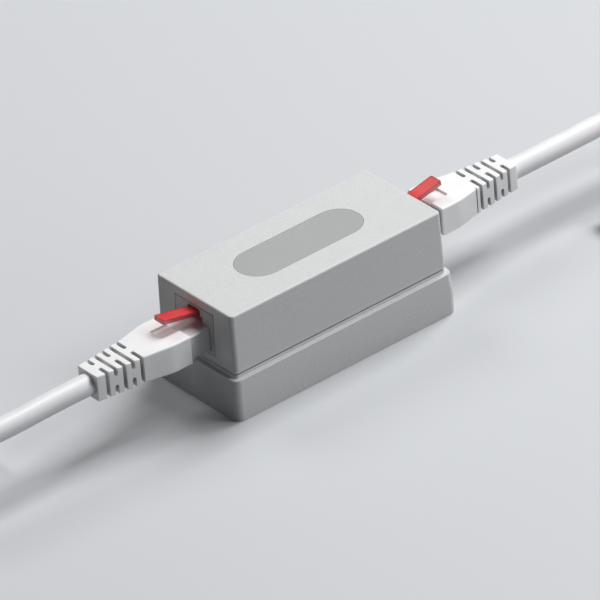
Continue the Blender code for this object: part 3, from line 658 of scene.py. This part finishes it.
def add_range(tree, value, low, high, from_low=0.3, from_high=0.7):
    """Spread a value over a new range."""
    spread = tree.nodes.new("ShaderNodeMapRange")
    ends = {"From Min": from_low, "From Max": from_high, "To Min": low, "To Max": high}
    set_values(spread, ends)
    tree.links.new(value, spread.inputs["Value"])
    return spread.outputs["Result"]


def add_mix(tree, factor, first, second):
    """Mix of two colours by a factor. Each colour is a value or a socket."""
    mix = tree.nodes.new("ShaderNodeMix")
    mix.data_type = "RGBA"
    tree.links.new(factor, mix.inputs["Factor"])
    for socket, colour in ((mix.inputs[MIX_FIRST], first), (mix.inputs[MIX_SECOND], second)):
        if isinstance(colour, bpy.types.NodeSocket):
            tree.links.new(colour, socket)
        else:
            socket.default_value = (*colour, 1.0)
    return mix.outputs[MIX_RESULT]


def link_surface(tree, shader, colour, gloss, height, depth):
    """Feed a shader its colour and roughness, and fine relief of a depth."""
    bump = tree.nodes.new("ShaderNodeBump")
    bump.inputs["Distance"].default_value = depth
    tree.links.new(height, bump.inputs["Height"])
    tree.links.new(bump.outputs["Normal"], shader.inputs["Normal"])
    tree.links.new(colour, shader.inputs["Base Color"])
    tree.links.new(gloss, shader.inputs["Roughness"])


def darker(colour, share):
    """The colour, darkened by a share."""
    return tuple(channel * (1.0 - share) for channel in colour)


def lighter(colour, share):
    """The colour, moved towards white by a share."""
    return tuple(channel + (1.0 - channel) * share for channel in colour)


def add_mottle(tree, noise, colour, share):
    """The colour, darkened by up to a share where a noise is low."""
    return add_mix(tree, add_range(tree, noise, 0.0, 1.0), darker(colour, share), colour)


def add_edge_mask(tree, width):
    """Mask that is 1 on crisp edges and 0 a width away from them."""
    rounded = tree.nodes.new("ShaderNodeBevel")
    rounded.samples = 6
    rounded.inputs["Radius"].default_value = width
    plain = tree.nodes.new("ShaderNodeNewGeometry")
    match = tree.nodes.new("ShaderNodeVectorMath")
    match.operation = "DOT_PRODUCT"
    tree.links.new(rounded.outputs["Normal"], match.inputs[0])
    tree.links.new(plain.outputs["Normal"], match.inputs[1])
    return add_range(tree, match.outputs["Value"], 1.0, 0.0, from_low=0.86, from_high=0.99)


def add_crevice_mask(tree, reach):
    """Mask that is 1 deep in a narrow slot and 0 on open faces."""
    closed_in = tree.nodes.new("ShaderNodeAmbientOcclusion")
    closed_in.samples = 8
    closed_in.only_local = True
    closed_in.inputs["Distance"].default_value = reach
    return add_range(tree, closed_in.outputs["AO"], 1.0, 0.0, from_low=0.25, from_high=0.8)


def moulded_plastic(
    name, colour, roughness, grain=0.35 * MM, depth=0.012 * MM, speckle=0.05, painted_highlight_width=0.0
):
    """Moulded plastic: spark texture, faint flow mottling, uneven gloss, and glossier edges with a
    painted highlight along them.
    """
    material, tree, shader, place = start_material(name)
    flow = add_noise(tree, place, 14 * MM, detail=3.0)
    fine = add_noise(tree, place, grain, detail=4.0, roughness=0.7)
    mottled = add_mottle(tree, flow, colour, 0.03)
    shade = add_mix(tree, add_range(tree, fine, 0.0, 1.0), darker(colour, 2 * speckle), mottled)
    gloss = add_range(tree, fine, roughness - 0.07, roughness + 0.07)
    # Painted highlight: a band along crisp edges is lightened towards white and made glossier
    if painted_highlight_width:
        edge = add_edge_mask(tree, painted_highlight_width)
        shade = add_mix(tree, edge, shade, lighter(colour, 0.6))
        gloss = add_mix(tree, edge, gloss, (RUBBED_ROUGHNESS,) * 3)
    shader.inputs["Specular IOR Level"].default_value = 0.4
    link_surface(tree, shader, shade, gloss, fine, depth)
    return material


def label_film(colour):
    """Satin printed film with a faint fibre."""
    material, tree, shader, place = start_material("label_film")
    fine = add_noise(tree, place, 0.6 * MM, detail=4.0, roughness=0.65)
    broad = add_noise(tree, place, 9 * MM)
    mottled = add_mottle(tree, fine, colour, 0.06)
    gloss = add_range(tree, broad, 0.34, 0.44)
    link_surface(tree, shader, mottled, gloss, fine, 0.004 * MM)
    return material


def soft_moulding(colour):
    """Soft moulded boot: slightly see-through, satin, faintly grained, with painted shade deep in
    its slots.
    """
    material, tree, shader, place = start_material("boot_plastic")
    flow = add_noise(tree, place, 6 * MM)
    fine = add_noise(tree, place, 0.25 * MM)
    mottled = add_mottle(tree, flow, colour, 0.04)
    # Painted shade: the colour is darkened where the occlusion mask finds a narrow slot
    painted_shade = add_mix(tree, add_crevice_mask(tree, 1.8 * MM), mottled, darker(colour, 0.7))
    gloss = add_range(tree, fine, 0.38, 0.5)
    set_values(shader, {"Subsurface Weight": 0.35, "Subsurface Scale": 1.5 * MM})
    shader.inputs["Subsurface Radius"].default_value = (1.0, 1.0, 1.0)
    link_surface(tree, shader, painted_shade, gloss, fine, 0.006 * MM)
    return material


def cable_jacket(colour):
    """Extruded cable jacket: satin, with a faint grain and handling smudges."""
    material, tree, shader, place = start_material("cable_jacket")
    smudge = add_noise(tree, place, 12 * MM, detail=3.0)
    fine = add_noise(tree, place, 0.5 * MM)
    mottled = add_mottle(tree, smudge, colour, 0.07)
    gloss = add_range(tree, smudge, 0.36, 0.48)
    link_surface(tree, shader, mottled, gloss, fine, 0.01 * MM)
    return material


def clear_plastic(colour):
    """Clear moulded plastic of a plug, a little milky, with faint flow lines."""
    material, tree, shader, place = start_material("clear_plastic")
    flow = add_noise(tree, place, 2.5 * MM)
    mottled = add_mottle(tree, flow, colour, 0.08)
    gloss = add_range(tree, flow, 0.22, 0.28)
    set_values(shader, {"Transmission Weight": 0.22, "IOR": 1.58})
    link_surface(tree, shader, mottled, gloss, flow, 0.01 * MM)
    return material


def tinted_plastic(colour):
    """Clear red plastic of a latch, with painted shade darkening it along its rims."""
    material, tree, shader, place = start_material("latch_plastic")
    flow = add_noise(tree, place, 2.5 * MM)
    mottled = add_mottle(tree, flow, colour, 0.1)
    # Painted shade: a band along the rims is darkened almost to black
    painted_shade = add_mix(tree, add_edge_mask(tree, 0.9 * MM), mottled, darker(colour, 0.93))
    gloss = add_range(tree, flow, 0.14, 0.22)
    set_values(shader, {"Alpha": 0.74, "Coat Weight": 0.6, "Coat Roughness": 0.12})
    set_values(shader, {"Subsurface Weight": 0.1, "Subsurface Scale": 0.6 * MM})
    shader.inputs["Subsurface Radius"].default_value = (1.0, 0.15, 0.12)
    link_surface(tree, shader, painted_shade, gloss, flow, 0.01 * MM)
    return material


def plated_metal(name, colour, roughness):
    """Plated contact metal with fine rolling marks."""
    material, tree, shader, place = start_material(name)
    fine = add_noise(tree, place, 0.2 * MM)
    mottled = add_mottle(tree, fine, colour, 0.1)
    gloss = add_range(tree, fine, roughness - 0.05, roughness + 0.08)
    shader.inputs["Metallic"].default_value = 1.0
    link_surface(tree, shader, mottled, gloss, fine, 0.003 * MM)
    return material


SURFACES = {}


def surface(name):
    """A finish by name, made the first time that it is asked for."""
    if name in SURFACES:
        return SURFACES[name]
    housing = bpy.context.scene.isolator_housing
    leads = bpy.context.scene.isolator_leads
    makers = {
        "shell": lambda: moulded_plastic(
            "housing_plastic",
            tuple(housing.shell_colour),
            roughness=0.46,
            grain=0.45 * MM,
            depth=housing.grain_depth,
            speckle=0.08,
            # Width of the painted highlight along the shell's edges
            painted_highlight_width=0.4 * MM,
        ),
        "label": lambda: label_film(tuple(housing.label_colour)),
        # The jack gets a narrower painted highlight along its edges
        "jack": lambda: moulded_plastic("jack_plastic", JACK_COLOUR, 0.42, painted_highlight_width=0.15 * MM),
        "jack_insert": lambda: moulded_plastic("insert_plastic", INSERT_COLOUR, 0.45),
        "board": lambda: moulded_plastic("solder_resist", BOARD_COLOUR, 0.3),
        "case": lambda: moulded_plastic("moulded_case", CASE_COLOUR, 0.5),
        "ceramic": lambda: moulded_plastic("ceramic_coat", CERAMIC_COLOUR, 0.35),
        "gold": lambda: plated_metal("gold_plate", GOLD_COLOUR, 0.24),
        "steel": lambda: plated_metal("zinc_plate", ZINC_COLOUR, 0.36),
        "clear": lambda: clear_plastic(CLEAR_COLOUR),
        "latch": lambda: tinted_plastic(tuple(leads.latch_colour)),
        "boot": lambda: soft_moulding(tuple(leads.boot_colour)),
        "cable": lambda: cable_jacket(tuple(leads.cable_colour)),
        "guide": lambda: moulded_plastic("wire_guide", GUIDE_COLOUR, 0.4),
    }
    SURFACES[name] = makers[name]()
    return SURFACES[name]


# Housing


def oval_block(name, length, width, low, high):
    """Flat oval with round ends, between two heights."""
    oval = add_block(name, (-length / 2, -width / 2, low), (length / 2, width / 2, high))
    round_edges(oval, runs_along(2), width / 2 - HAIR, segments=24)
    return oval


def rounded_block(half_length, half_width, low, high, radius):
    """Upright block about the middle with rounded corners, between two heights."""
    block = add_block("block", (-half_length, -half_width, low), (half_length, half_width, high))
    round_edges(block, runs_along(2), radius, segments=8)
    return block


def model_cover(settings):
    """Cover: drafted walls, rounded top edge, open underside, jack openings, bosses, recess."""
    low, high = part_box("cover")
    cover = add_block("cover_shell", low, high)
    round_edges(cover, runs_along(2), settings.corner_radius, segments=8)
    choose(cover, "FACE", faces_way(0, 0, 1))
    draw_in(COVER_DRAFT, high, high.z)
    round_edges(cover, edges_at_height(high.z), settings.top_round, segments=5)
    wall = Vector((COVER_WALL, COVER_WALL, 0))
    ceiling = Vector((high.x, high.y, high.z - COVER_WALL))
    hollow = add_block("hollow", low + wall - at_height(CUT_PAST), ceiling - wall)
    round_edges(hollow, runs_along(2), settings.corner_radius / 2, segments=4)
    carve(cover, hollow)
    for spot in SCREW_SPOTS:
        join(cover, rod_up("boss", spot, BOSS_FOOT, high.z - SUNK, BOSS_RADIUS))
        carve(cover, rod_up("hole", spot, low.z, SCREW_TIP, HOLE_RADIUS))
    jack_low, jack_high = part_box("jack_housing_right")
    for sign in (1, -1):
        near, far = sorted((sign * (high.x - 2 * COVER_WALL), sign * (high.x + CUT_PAST)))
        opening = add_block(
            "opening",
            (near, jack_low.y - OPENING_GAP, low.z - CUT_PAST),
            (far, jack_high.y + OPENING_GAP, jack_high.z + OPENING_GAP),
        )
        carve(cover, opening)
    label_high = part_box("label_plate")[1]
    recess = oval_block(
        "recess",
        2 * (label_high.x + LABEL_GAP),
        2 * (label_high.y + LABEL_GAP),
        high.z - LABEL_RECESS,
        high.z + CUT_PAST,
    )
    carve(cover, recess)
    return soften(cover, HOUSING_EDGE)


def model_base(settings):
    """Base: flared foot, ledge, rim, tongue, sills under the jacks and screw bosses."""
    low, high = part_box("base")
    cover_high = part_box("cover")[1]
    base = add_block("base_shell", (low.x, low.y, 0), (high.x, high.y, WAIST_Z))
    round_edges(base, runs_along(2), BASE_CORNER, segments=10)
    choose(base, "FACE", faces_way(0, 0, -1))
    draw_in(FOOT_INSET, high, 0)
    choose(base, "FACE", faces_way(0, 0, 1))
    extrude_chosen(0, 0, LEDGE_Z - WAIST_Z)
    draw_in(LEDGE_INSET, high, LEDGE_Z)
    round_edges(base, edges_at_height(LEDGE_Z), LEDGE_ROUND, segments=6)
    rim = rounded_block(cover_high.x, cover_high.y, WAIST_Z, RIM_Z, settings.corner_radius)
    join(base, rim)
    inset = COVER_WALL + CLEAR
    length, width = cover_high.x - inset, cover_high.y - inset
    tongue_top = high.z - SILL_ABOVE_TONGUE
    tongue = rounded_block(length, width, WAIST_Z, tongue_top, TONGUE_CORNER)
    join(base, tongue)
    length, width = length - TONGUE_WALL, width - TONGUE_WALL
    carve(base, rounded_block(length, width, BASE_FLOOR, high.z + CUT_PAST, HOLLOW_CORNER))
    jack_low, jack_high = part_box("jack_housing_right")
    wall = cover_high.x - COVER_DRAFT
    sill_top = jack_low.z - OPENING_GAP
    for sign in (1, -1):
        near, far = sorted((sign * (wall - SILL_DEPTH), sign * wall))
        sill = add_block("sill", (near, jack_low.y, WAIST_Z), (far, jack_high.y, sill_top))
        join(base, sill)
    for spot in SCREW_SPOTS:
        join(base, rod_up("boss", spot, SUNK, POST_Z, BASE_BOSS_RADIUS))
        carve(base, rod_up("sink", spot, -CUT_PAST, SCREW_SINK, HEAD_RADIUS))
        carve(base, rod_up("hole", spot, 0, POST_Z + CUT_PAST, HOLE_RADIUS))
    for number in (1, 2):
        screw_low, screw_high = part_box(f"board_screw_{number}")
        spot = (screw_low + screw_high) / 2
        spot.z = 0
        join(base, rod_up("post", spot, SUNK, POST_Z, POST_RADIUS))
        carve(base, rod_up("hole", spot, POST_FLOOR, POST_Z + CUT_PAST, POST_HOLE))
    return soften(base, HOUSING_EDGE)


def model_label():
    """Oval plate with a softened rim."""
    low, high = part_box("label_plate")
    label = oval_block("oval_label", 2 * high.x, 2 * high.y, low.z, high.z)
    return soften(label, LABEL_EDGE)


# Plugs, boots and latches


def block_across(start, end, near, far, low, high, sign):
    """Block along X whose two sides in Y may be mirrored."""
    near, far = sorted((sign * near, sign * far))
    return add_block("block", (start, near, low), (end, far, high))


def slot_cutter(index, way):
    """Cutter of one slot of the strain relief, with a round inner end."""
    start = BOOT_LOW.x + GRIP_LENGTH + index * RELIEF_PITCH
    end = start + RELIEF_SLOT
    if index % 2 == 0:
        inner = way * BRIDGE_HALF_WIDTH
        near, far = sorted((inner, way * SLOT_REACH))
        low = (start, near, CABLE_Z - SLOT_REACH)
        cutter = add_block("slot", low, (end, far, CABLE_Z + SLOT_REACH))
        axis, across = 2, 1
    else:
        inner = CABLE_Z + (BRIDGE_ABOVE if way > 0 else -BRIDGE_BELOW)
        near, far = sorted((inner, CABLE_Z + way * SLOT_REACH))
        cutter = add_block("slot", (start, -SLOT_REACH, near), (end, SLOT_REACH, far))
        axis, across = 1, 2
    along = runs_along(axis)

    def at_inner_end(edge):
        return along(edge) and abs(edge.verts[0].co[across] - inner) < NEAR

    round_edges(cutter, at_inner_end, SLOT_ROUND, segments=6)
    return cutter


def boot_stations():
    """Place, width and height of the sections that the boot is pulled through."""
    width = BOOT_HIGH.y - BOOT_LOW.y
    height = BOOT_HIGH.z - BOOT_LOW.z
    straight = BOOT_LOW.x + GRIP_STRAIGHT
    stations = [(straight, width, height)]
    for step in range(1, GRIP_STEPS + 1):
        share = step / GRIP_STEPS
        ease = share * share * (3 - 2 * share) / 2 + share / 2
        x = straight + (GRIP_LENGTH - GRIP_STRAIGHT) * share
        wide = width + (WAIST_SIZE[0] - width) * ease
        stations.append((x, wide, height + (WAIST_SIZE[1] - height) * ease))
    stations.append((BOOT_REAR, *END_SIZE))
    return stations


def model_boot():
    """Boot: flared grip, latch recess, then a slotted strain relief that narrows."""
    middle = (BOOT_LOW.z + BOOT_HIGH.z) / 2
    stations = boot_stations()
    last = stations[0]
    front = (BOOT_FRONT, BOOT_LOW.y, BOOT_LOW.z)
    boot = add_block("boot", front, (last[0], BOOT_HIGH.y, BOOT_HIGH.z))
    choose(boot, "FACE", faces_way(1, 0, 0))
    for x, wide, tall in stations[1:]:
        extrude_chosen(x - last[0], 0, 0)
        resize_chosen(1, wide / last[1], tall / last[2], Vector((x, 0, middle)))
        last = (x, wide, tall)
    round_edges(boot, runs_along(0), BOOT_CORNER, segments=5)
    behind = BOOT_LOW.x - CUT_PAST
    rear = PLUG_HIGH.x + POCKET_GAP
    pocket = add_block(
        "pocket",
        (behind, PLUG_LOW.y - POCKET_GAP, PLUG_LOW.z + REAR_STEP - POCKET_GAP),
        (rear, PLUG_HIGH.y + POCKET_GAP, PLUG_TOP + RECESS_ROOF),
    )
    line = Vector((0, 0, CABLE_Z))
    bore = add_rod(
        "bore",
        line + Vector((PLUG_HIGH.x - POCKET_GAP, 0, 0)),
        line + Vector((BOOT_REAR + CUT_PAST, 0, 0)),
        BORE_RADIUS,
        sides=48,
    )
    floor = BOOT_HIGH.z - RECESS_DEPTH
    recess = add_block(
        "recess",
        (behind, -RECESS_HALF, floor),
        (BOOT_LOW.x + RECESS_LENGTH, RECESS_HALF, BOOT_HIGH.z + CUT_PAST),
    )
    round_edges(recess, upright_past(BOOT_LOW.x), RECESS_DEPTH, segments=5)
    round_edges(recess, edges_at_height(floor), RECESS_DEPTH / 2, segments=4)
    groove_x = BOOT_LOW.x + GROOVE_AT
    half_width = (stations[GRIP_STEPS - 1][1] + WAIST_SIZE[0]) / 4
    groove = add_block(
        "groove",
        (groove_x, -BOOT_HIGH.y - CUT_PAST, BOOT_LOW.z - CUT_PAST),
        (groove_x + GROOVE_WIDTH, GROOVE_DEPTH - half_width, BOOT_HIGH.z + CUT_PAST),
    )
    carve(boot, pocket, bore, recess, groove)
    for index in range(RELIEF_SLOTS):
        carve(boot, slot_cutter(index, 1), slot_cutter(index, -1))
    return soften(boot, BOOT_EDGE)


def is_lug_top(edge):
    """Whether an edge runs across the top of a latch lug."""
    return runs_along(1)(edge) and edge.verts[0].co.z > PLUG_TOP


def model_plug():
    """Clear plug body with its contact slots, conductor channel and latch lugs."""
    plug = add_block("plug", PLUG_LOW, (PLUG_HIGH.x, PLUG_HIGH.y, PLUG_TOP))
    round_edges(plug, lambda edge: True, PLUG_EDGE, segments=3)
    for sign in (1, -1):
        ends = PIVOT.x - LUG_HALF, PIVOT.x + LUG_HALF
        lug = block_across(*ends, LUG_NEAR, LUG_FAR, PLUG_TOP - CLEAR, PLUG_HIGH.z, sign)
        round_edges(lug, is_lug_top, LUG_HALF / 2, segments=5)
        join(plug, lug)
    outside = PLUG_HIGH.x + CUT_PAST
    channel = add_block(
        "channel",
        (PLUG_LOW.x + NOSE_WALL, -CHANNEL_HALF, CHANNEL_FLOOR),
        (outside, CHANNEL_HALF, CHANNEL_TOP),
    )
    step = add_block(
        "step",
        (PLUG_HIGH.x - REAR_LENGTH, -BOOT_HIGH.y, PLUG_LOW.z - CUT_PAST),
        (outside, BOOT_HIGH.y, PLUG_LOW.z + REAR_STEP),
    )
    carve(plug, channel, step)
    for y in contact_rows():
        slot = add_block(
            "slot",
            (PLUG_LOW.x - CUT_PAST, y - SLOT_HALF, PLUG_LOW.z - CUT_PAST),
            (PLUG_LOW.x + SLOT_LENGTH, y + SLOT_HALF, CHANNEL_FLOOR + CLEAR),
        )
        carve(plug, slot)
    return shade_by_face(plug)


def contact_rows():
    """Y of each of the eight contacts."""
    return [(index - (CONTACTS - 1) / 2) * PITCH for index in range(CONTACTS)]


def model_latch():
    """Sprung latch: root between the lugs, shouldered arm and finger tab."""
    half = LATCH_THICKNESS / 2
    arm = add_block("latch", (0, -LATCH_HALF, -half), (LATCH_LENGTH, LATCH_HALF, half))
    below, above = -3 * half, 3 * half
    for sign in (1, -1):
        root = block_across(-CUT_PAST, ROOT_LENGTH, ROOT_HALF, 2 * LATCH_HALF, below, above, sign)
        outside = LATCH_LENGTH + CUT_PAST
        tab = block_across(SHOULDER_LENGTH, outside, TAB_HALF, 2 * LATCH_HALF, below, above, sign)
        carve(arm, root, tab)
    round_edges(arm, upright_past(LATCH_LENGTH - NEAR), TAB_CORNER, segments=5)
    bar = add_rod("bar", (0, -ROOT_HALF, 0), (0, ROOT_HALF, 0), BAR_RADIUS, sides=24)
    join(arm, bar)
    soften(arm, LATCH_EDGE, segments=3)
    arm.matrix_world = Matrix.Translation(PIVOT) @ Matrix.Rotation(LATCH_ANGLE, 4, "Y")
    take_up(arm)
    apply_place()
    return arm


def model_jack():
    """Jack housing from its solid, with the opening for the latch cut a little wider."""
    jack = merged_copy("jack_housing_right", "jack")
    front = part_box("jack_housing_right")[1].x
    choose(jack, "VERT", lambda vert: vert.co.x > front - JACK_FRONT_WALL / 2)
    bpy.ops.transform.translate(value=(JACK_FORWARD, 0, 0))
    leave_edit_mode()
    slot = add_block(
        "slot",
        (front - JACK_FRONT_WALL - CLEAR, -LATCH_SLOT_HALF, PLUG_TOP),
        (front + CUT_PAST, LATCH_SLOT_HALF, LATCH_SLOT_TOP),
    )
    carve(jack, slot)
    return soften(jack, JACK_EDGE)


def model_jack_contacts():
    """Contact insert from its solid: moulded block first, then its eight gold wires."""
    insert = merged_copy("jack_contacts_right", "insert")
    wires_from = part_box("jack_contacts_right")[0].x + INSERT_FRONT - CLEAR
    paint(insert, "jack_insert", "gold", lambda face: face.calc_center_median().x > wires_from)
    return insert


def model_plug_contacts():
    """Wire guide of the plug from its solid: moulded comb first, then its eight gold blades."""
    guide = merged_copy("plug_contacts_right", "guide")
    blades_below = CHANNEL_FLOOR + CLEAR - NEAR
    paint(guide, "guide", "gold", lambda face: face.calc_center_median().z < blades_below)
    return guide


def paint(piece, main, second, test):
    """Give a piece two finishes: the second one goes on the faces that pass a test."""
    piece.data.materials.clear()
    piece.data.materials.append(surface(main))
    piece.data.materials.append(surface(second))
    choose(piece, "FACE", test)
    piece.active_material_index = 1
    bpy.ops.object.material_slot_assign()
    leave_edit_mode()


def model_screw(node, head_below):
    """Screw from its solid, with a cross recess sunk in its head."""
    screw = merged_copy(node, node + "_shape")
    low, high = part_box(node)
    middle = (low + high) / 2
    middle.z = low.z if head_below else high.z
    half = CROSS_WIDTH / 2
    for x, y in ((CROSS_REACH, half), (half, CROSS_REACH)):
        reach = Vector((x, y, CROSS_DEPTH))
        carve(screw, add_block("cross", middle - reach, middle + reach))
    return soften(screw, SCREW_EDGE)


def smooth_route(points, step):
    """Points about a step apart on the natural cubic spline through the given points."""
    spots = np.array(points)
    gaps = np.linalg.norm(np.diff(spots, axis=0), axis=1)
    slopes = np.diff(spots, axis=0) / gaps[:, None]
    system = np.eye(len(spots))
    pull = np.zeros(spots.shape)
    for index in range(1, len(spots) - 1):
        before = gaps[index - 1]
        after = gaps[index]
        system[index, index - 1 : index + 2] = before, 2 * (before + after), after
        pull[index] = 6 * (slopes[index] - slopes[index - 1])
    bends = np.linalg.solve(system, pull)
    line = []
    for index, gap in enumerate(gaps):
        pieces = max(1, round(gap / step))
        for piece in range(pieces):
            t = piece / pieces
            u = 1 - t
            curl = ((u**3 - u) * bends[index] + (t**3 - t) * bends[index + 1]) * gap**2 / 6
            line.append(Vector(u * spots[index] + t * spots[index + 1] + curl))
    line.append(Vector(spots[-1]))
    return line


def model_cable(side, place, diameter):
    """One cable as a round curve."""
    points = [Vector(point) * MM for point in ROUTE]
    line = [place @ point for point in smooth_route(points, ROUTE_STEP)]
    curve = bpy.data.curves.new(f"cable_line_{side}", "CURVE")
    curve.dimensions = "3D"
    curve.bevel_depth = diameter / 2
    curve.bevel_resolution = 8
    curve.use_fill_caps = True
    spline = curve.splines.new("POLY")
    spline.points.add(len(line) - 1)
    for point, spot in zip(spline.points, line):
        point.co = (*spot, 1.0)
    spline.use_smooth = True
    cable = bpy.data.objects.new(f"cable_line_{side}", curve)
    bpy.context.scene.collection.objects.link(cable)
    length = sum((b - a).length for a, b in zip(line, line[1:]))
    return cable, line[0], length


# Operators


class ISOLATOR_OT_stage(bpy.types.Operator):
    """Set up the floor, the lamps, the world and the camera"""

    bl_idname = "isolator.stage"
    bl_label = "Stage"

    def execute(self, context):
        settings = context.scene.isolator_stage
        scene = context.scene
        scene.view_settings.view_transform = "Standard"
        back = Vector(
            (
                math.sin(settings.azimuth) * math.cos(settings.elevation),
                -math.cos(settings.azimuth) * math.cos(settings.elevation),
                math.sin(settings.elevation),
            )
        )
        right = Vector((math.cos(settings.azimuth), math.sin(settings.azimuth), 0))
        level = Matrix((right, back.cross(right), back)).transposed().to_4x4()
        turn = level @ Matrix.Rotation(-settings.roll, 4, "Z")
        camera = bpy.data.objects.new("camera", bpy.data.cameras.new("camera"))
        scene.collection.objects.link(camera)
        camera.data.lens = settings.focal_length
        camera.data.sensor_width = SENSOR_WIDTH
        camera.data.clip_end = VIEW_REACH
        camera.matrix_world = Matrix.Translation(CAMERA_AIM + back * settings.distance) @ turn
        scene.camera = camera

        leave_edit_mode()
        bpy.ops.mesh.primitive_plane_add(size=FLOOR_SIZE, location=(0, 0, -FLOOR_DROP))
        floor = bpy.context.object
        floor.name = "floor"
        floor.data.materials.append(floor_material(tuple(settings.floor_colour)))

        world = bpy.data.worlds.new("studio")
        scene.world = world
        world.use_nodes = True
        sky = world.node_tree.nodes["Background"]
        set_values(sky, {"Color": SKY_COLOUR, "Strength": SKY_STRENGTH})
        for lamp in LAMPS:
            add_lamp(*lamp)
        return {"FINISHED"}


def add_lamp(name, place, size, power, colour):
    """A square soft lamp that faces the isolator."""
    lamp = bpy.data.objects.new(name, bpy.data.lights.new(name, "AREA"))
    bpy.context.scene.collection.objects.link(lamp)
    lamp.data.size = size
    lamp.data.energy = power
    lamp.data.color = colour
    lamp.location = place
    lamp.rotation_euler = Vector(place).to_track_quat("Z", "Y").to_euler()


def floor_material(colour):
    """Pale matt floor that throws back less light than the camera, gloss and clear parts see."""
    material, tree, shader, place = start_material("pale_floor")
    pale = add_mottle(tree, add_noise(tree, place, 0.4), colour, 0.015)
    path = tree.nodes.new("ShaderNodeLightPath")
    seen = path.outputs["Is Camera Ray"]
    for kind in ("Is Glossy Ray", "Is Transmission Ray"):
        either = tree.nodes.new("ShaderNodeMath")
        either.operation = "MAXIMUM"
        tree.links.new(seen, either.inputs[0])
        tree.links.new(path.outputs[kind], either.inputs[1])
        seen = either.outputs["Value"]
    blend = add_mix(tree, seen, darker(colour, FLOOR_HOLDS_BACK), pale)
    tree.links.new(blend, shader.inputs["Base Color"])
    shader.inputs["Roughness"].default_value = 0.55
    return material


class ISOLATOR_OT_cables(bpy.types.Operator):
    """Lay the two cables along their routes"""

    bl_idname = "isolator.cables"
    bl_label = "Cables"

    def execute(self, context):
        settings = context.scene.isolator_leads
        for side, place in SIDES.items():
            cable, start, length = model_cable(side, place, settings.cable_diameter)
            give(cable, "cable", f"cable_{side}")
        return {"FINISHED"}


class ISOLATOR_OT_housing(bpy.types.Operator):
    """Model the base, the cover and the oval label"""

    bl_idname = "isolator.housing"
    bl_label = "Housing"

    def execute(self, context):
        settings = context.scene.isolator_housing
        give(model_cover(settings), "shell", "cover")
        give(model_base(settings), "shell", "base")
        give(model_label(), "label", "label_plate")
        return {"FINISHED"}


class ISOLATOR_OT_plugs(bpy.types.Operator):
    """Model the plugs, boots and latches, and copy them to the four lead ends"""

    bl_idname = "isolator.plugs"
    bl_label = "Plugs"

    def execute(self, context):
        copy_to_places(model_boot(), "boot", "boot", PLUG_PLACES)
        copy_to_places(model_plug(), "plug_body", "clear", PLUG_PLACES)
        copy_to_places(model_plug_contacts(), "plug_contacts", None, PLUG_PLACES)
        copy_to_places(model_latch(), "latch", "latch", PLUG_PLACES)
        return {"FINISHED"}


class ISOLATOR_OT_jacks(bpy.types.Operator):
    """Model the jacks and their contact inserts, and copy them to both ends"""

    bl_idname = "isolator.jacks"
    bl_label = "Jacks"

    def execute(self, context):
        copy_to_places(model_jack(), "jack_housing", "jack", SIDE_PLACES)
        copy_to_places(model_jack_contacts(), "jack_contacts", None, SIDE_PLACES)
        return {"FINISHED"}


class ISOLATOR_OT_screws(bpy.types.Operator):
    """Model the housing screws and the board screws with their cross recesses"""

    bl_idname = "isolator.screws"
    bl_label = "Screws"

    def execute(self, context):
        for kind, count, head_below in (("housing_screw", 4, True), ("board_screw", 2, False)):
            for number in range(1, count + 1):
                node = f"{kind}_{number}"
                give(model_screw(node, head_below), "steel", node)
        return {"FINISHED"}


class ISOLATOR_OT_inner_parts(bpy.types.Operator):
    """Give the board and the parts on it their finishes"""

    bl_idname = "isolator.inner_parts"
    bl_label = "Inner parts"

    def execute(self, context):
        finishes = {
            "circuit_board": "board",
            "isolation_transformer": "case",
            "resistor_pack": "case",
            "isolation_capacitor": "ceramic",
        }
        for node, solid in frame["nodes"].items():
            for word, finish in finishes.items():
                if word in node:
                    solid.data.materials.clear()
                    solid.data.materials.append(surface(finish))
        return {"FINISHED"}


class ISOLATOR_PT_panel(bpy.types.Panel):
    """Buttons for the pieces of the isolator"""

    bl_label = "Network Isolator"
    bl_idname = "ISOLATOR_PT_panel"
    bl_space_type = "VIEW_3D"
    bl_region_type = "UI"
    bl_category = "Isolator"

    def draw(self, context):
        for group in ("isolator_stage", "isolator_housing", "isolator_leads"):
            settings = getattr(context.scene, group)
            column = self.layout.column(align=True)
            for name in settings.__annotations__:
                column.prop(settings, name)
        for operator in OPERATORS:
            self.layout.operator(operator.bl_idname)


OPERATORS = (
    ISOLATOR_OT_stage,
    ISOLATOR_OT_cables,
    ISOLATOR_OT_housing,
    ISOLATOR_OT_plugs,
    ISOLATOR_OT_jacks,
    ISOLATOR_OT_screws,
    ISOLATOR_OT_inner_parts,
)
GROUPS = (HousingSettings, LeadSettings, StageSettings)


def register():
    """Register the classes and hang the settings on the scene."""
    for item in (*GROUPS, *OPERATORS, ISOLATOR_PT_panel):
        bpy.utils.register_class(item)
    bpy.types.Scene.isolator_housing = bpy.props.PointerProperty(type=HousingSettings)
    bpy.types.Scene.isolator_leads = bpy.props.PointerProperty(type=LeadSettings)
    bpy.types.Scene.isolator_stage = bpy.props.PointerProperty(type=StageSettings)


def unregister():
    """Take the settings and classes away again."""
    del bpy.types.Scene.isolator_stage
    del bpy.types.Scene.isolator_leads
    del bpy.types.Scene.isolator_housing
    for item in reversed((*GROUPS, *OPERATORS, ISOLATOR_PT_panel)):
        bpy.utils.unregister_class(item)


def main():
    """Register and run every operator in order."""
    register()
    bpy.ops.isolator.stage()
    bpy.ops.isolator.cables()
    bpy.ops.isolator.housing()
    bpy.ops.isolator.plugs()
    bpy.ops.isolator.jacks()
    bpy.ops.isolator.screws()
    bpy.ops.isolator.inner_parts()
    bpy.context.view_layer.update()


if __name__ == "__main__":
    main()
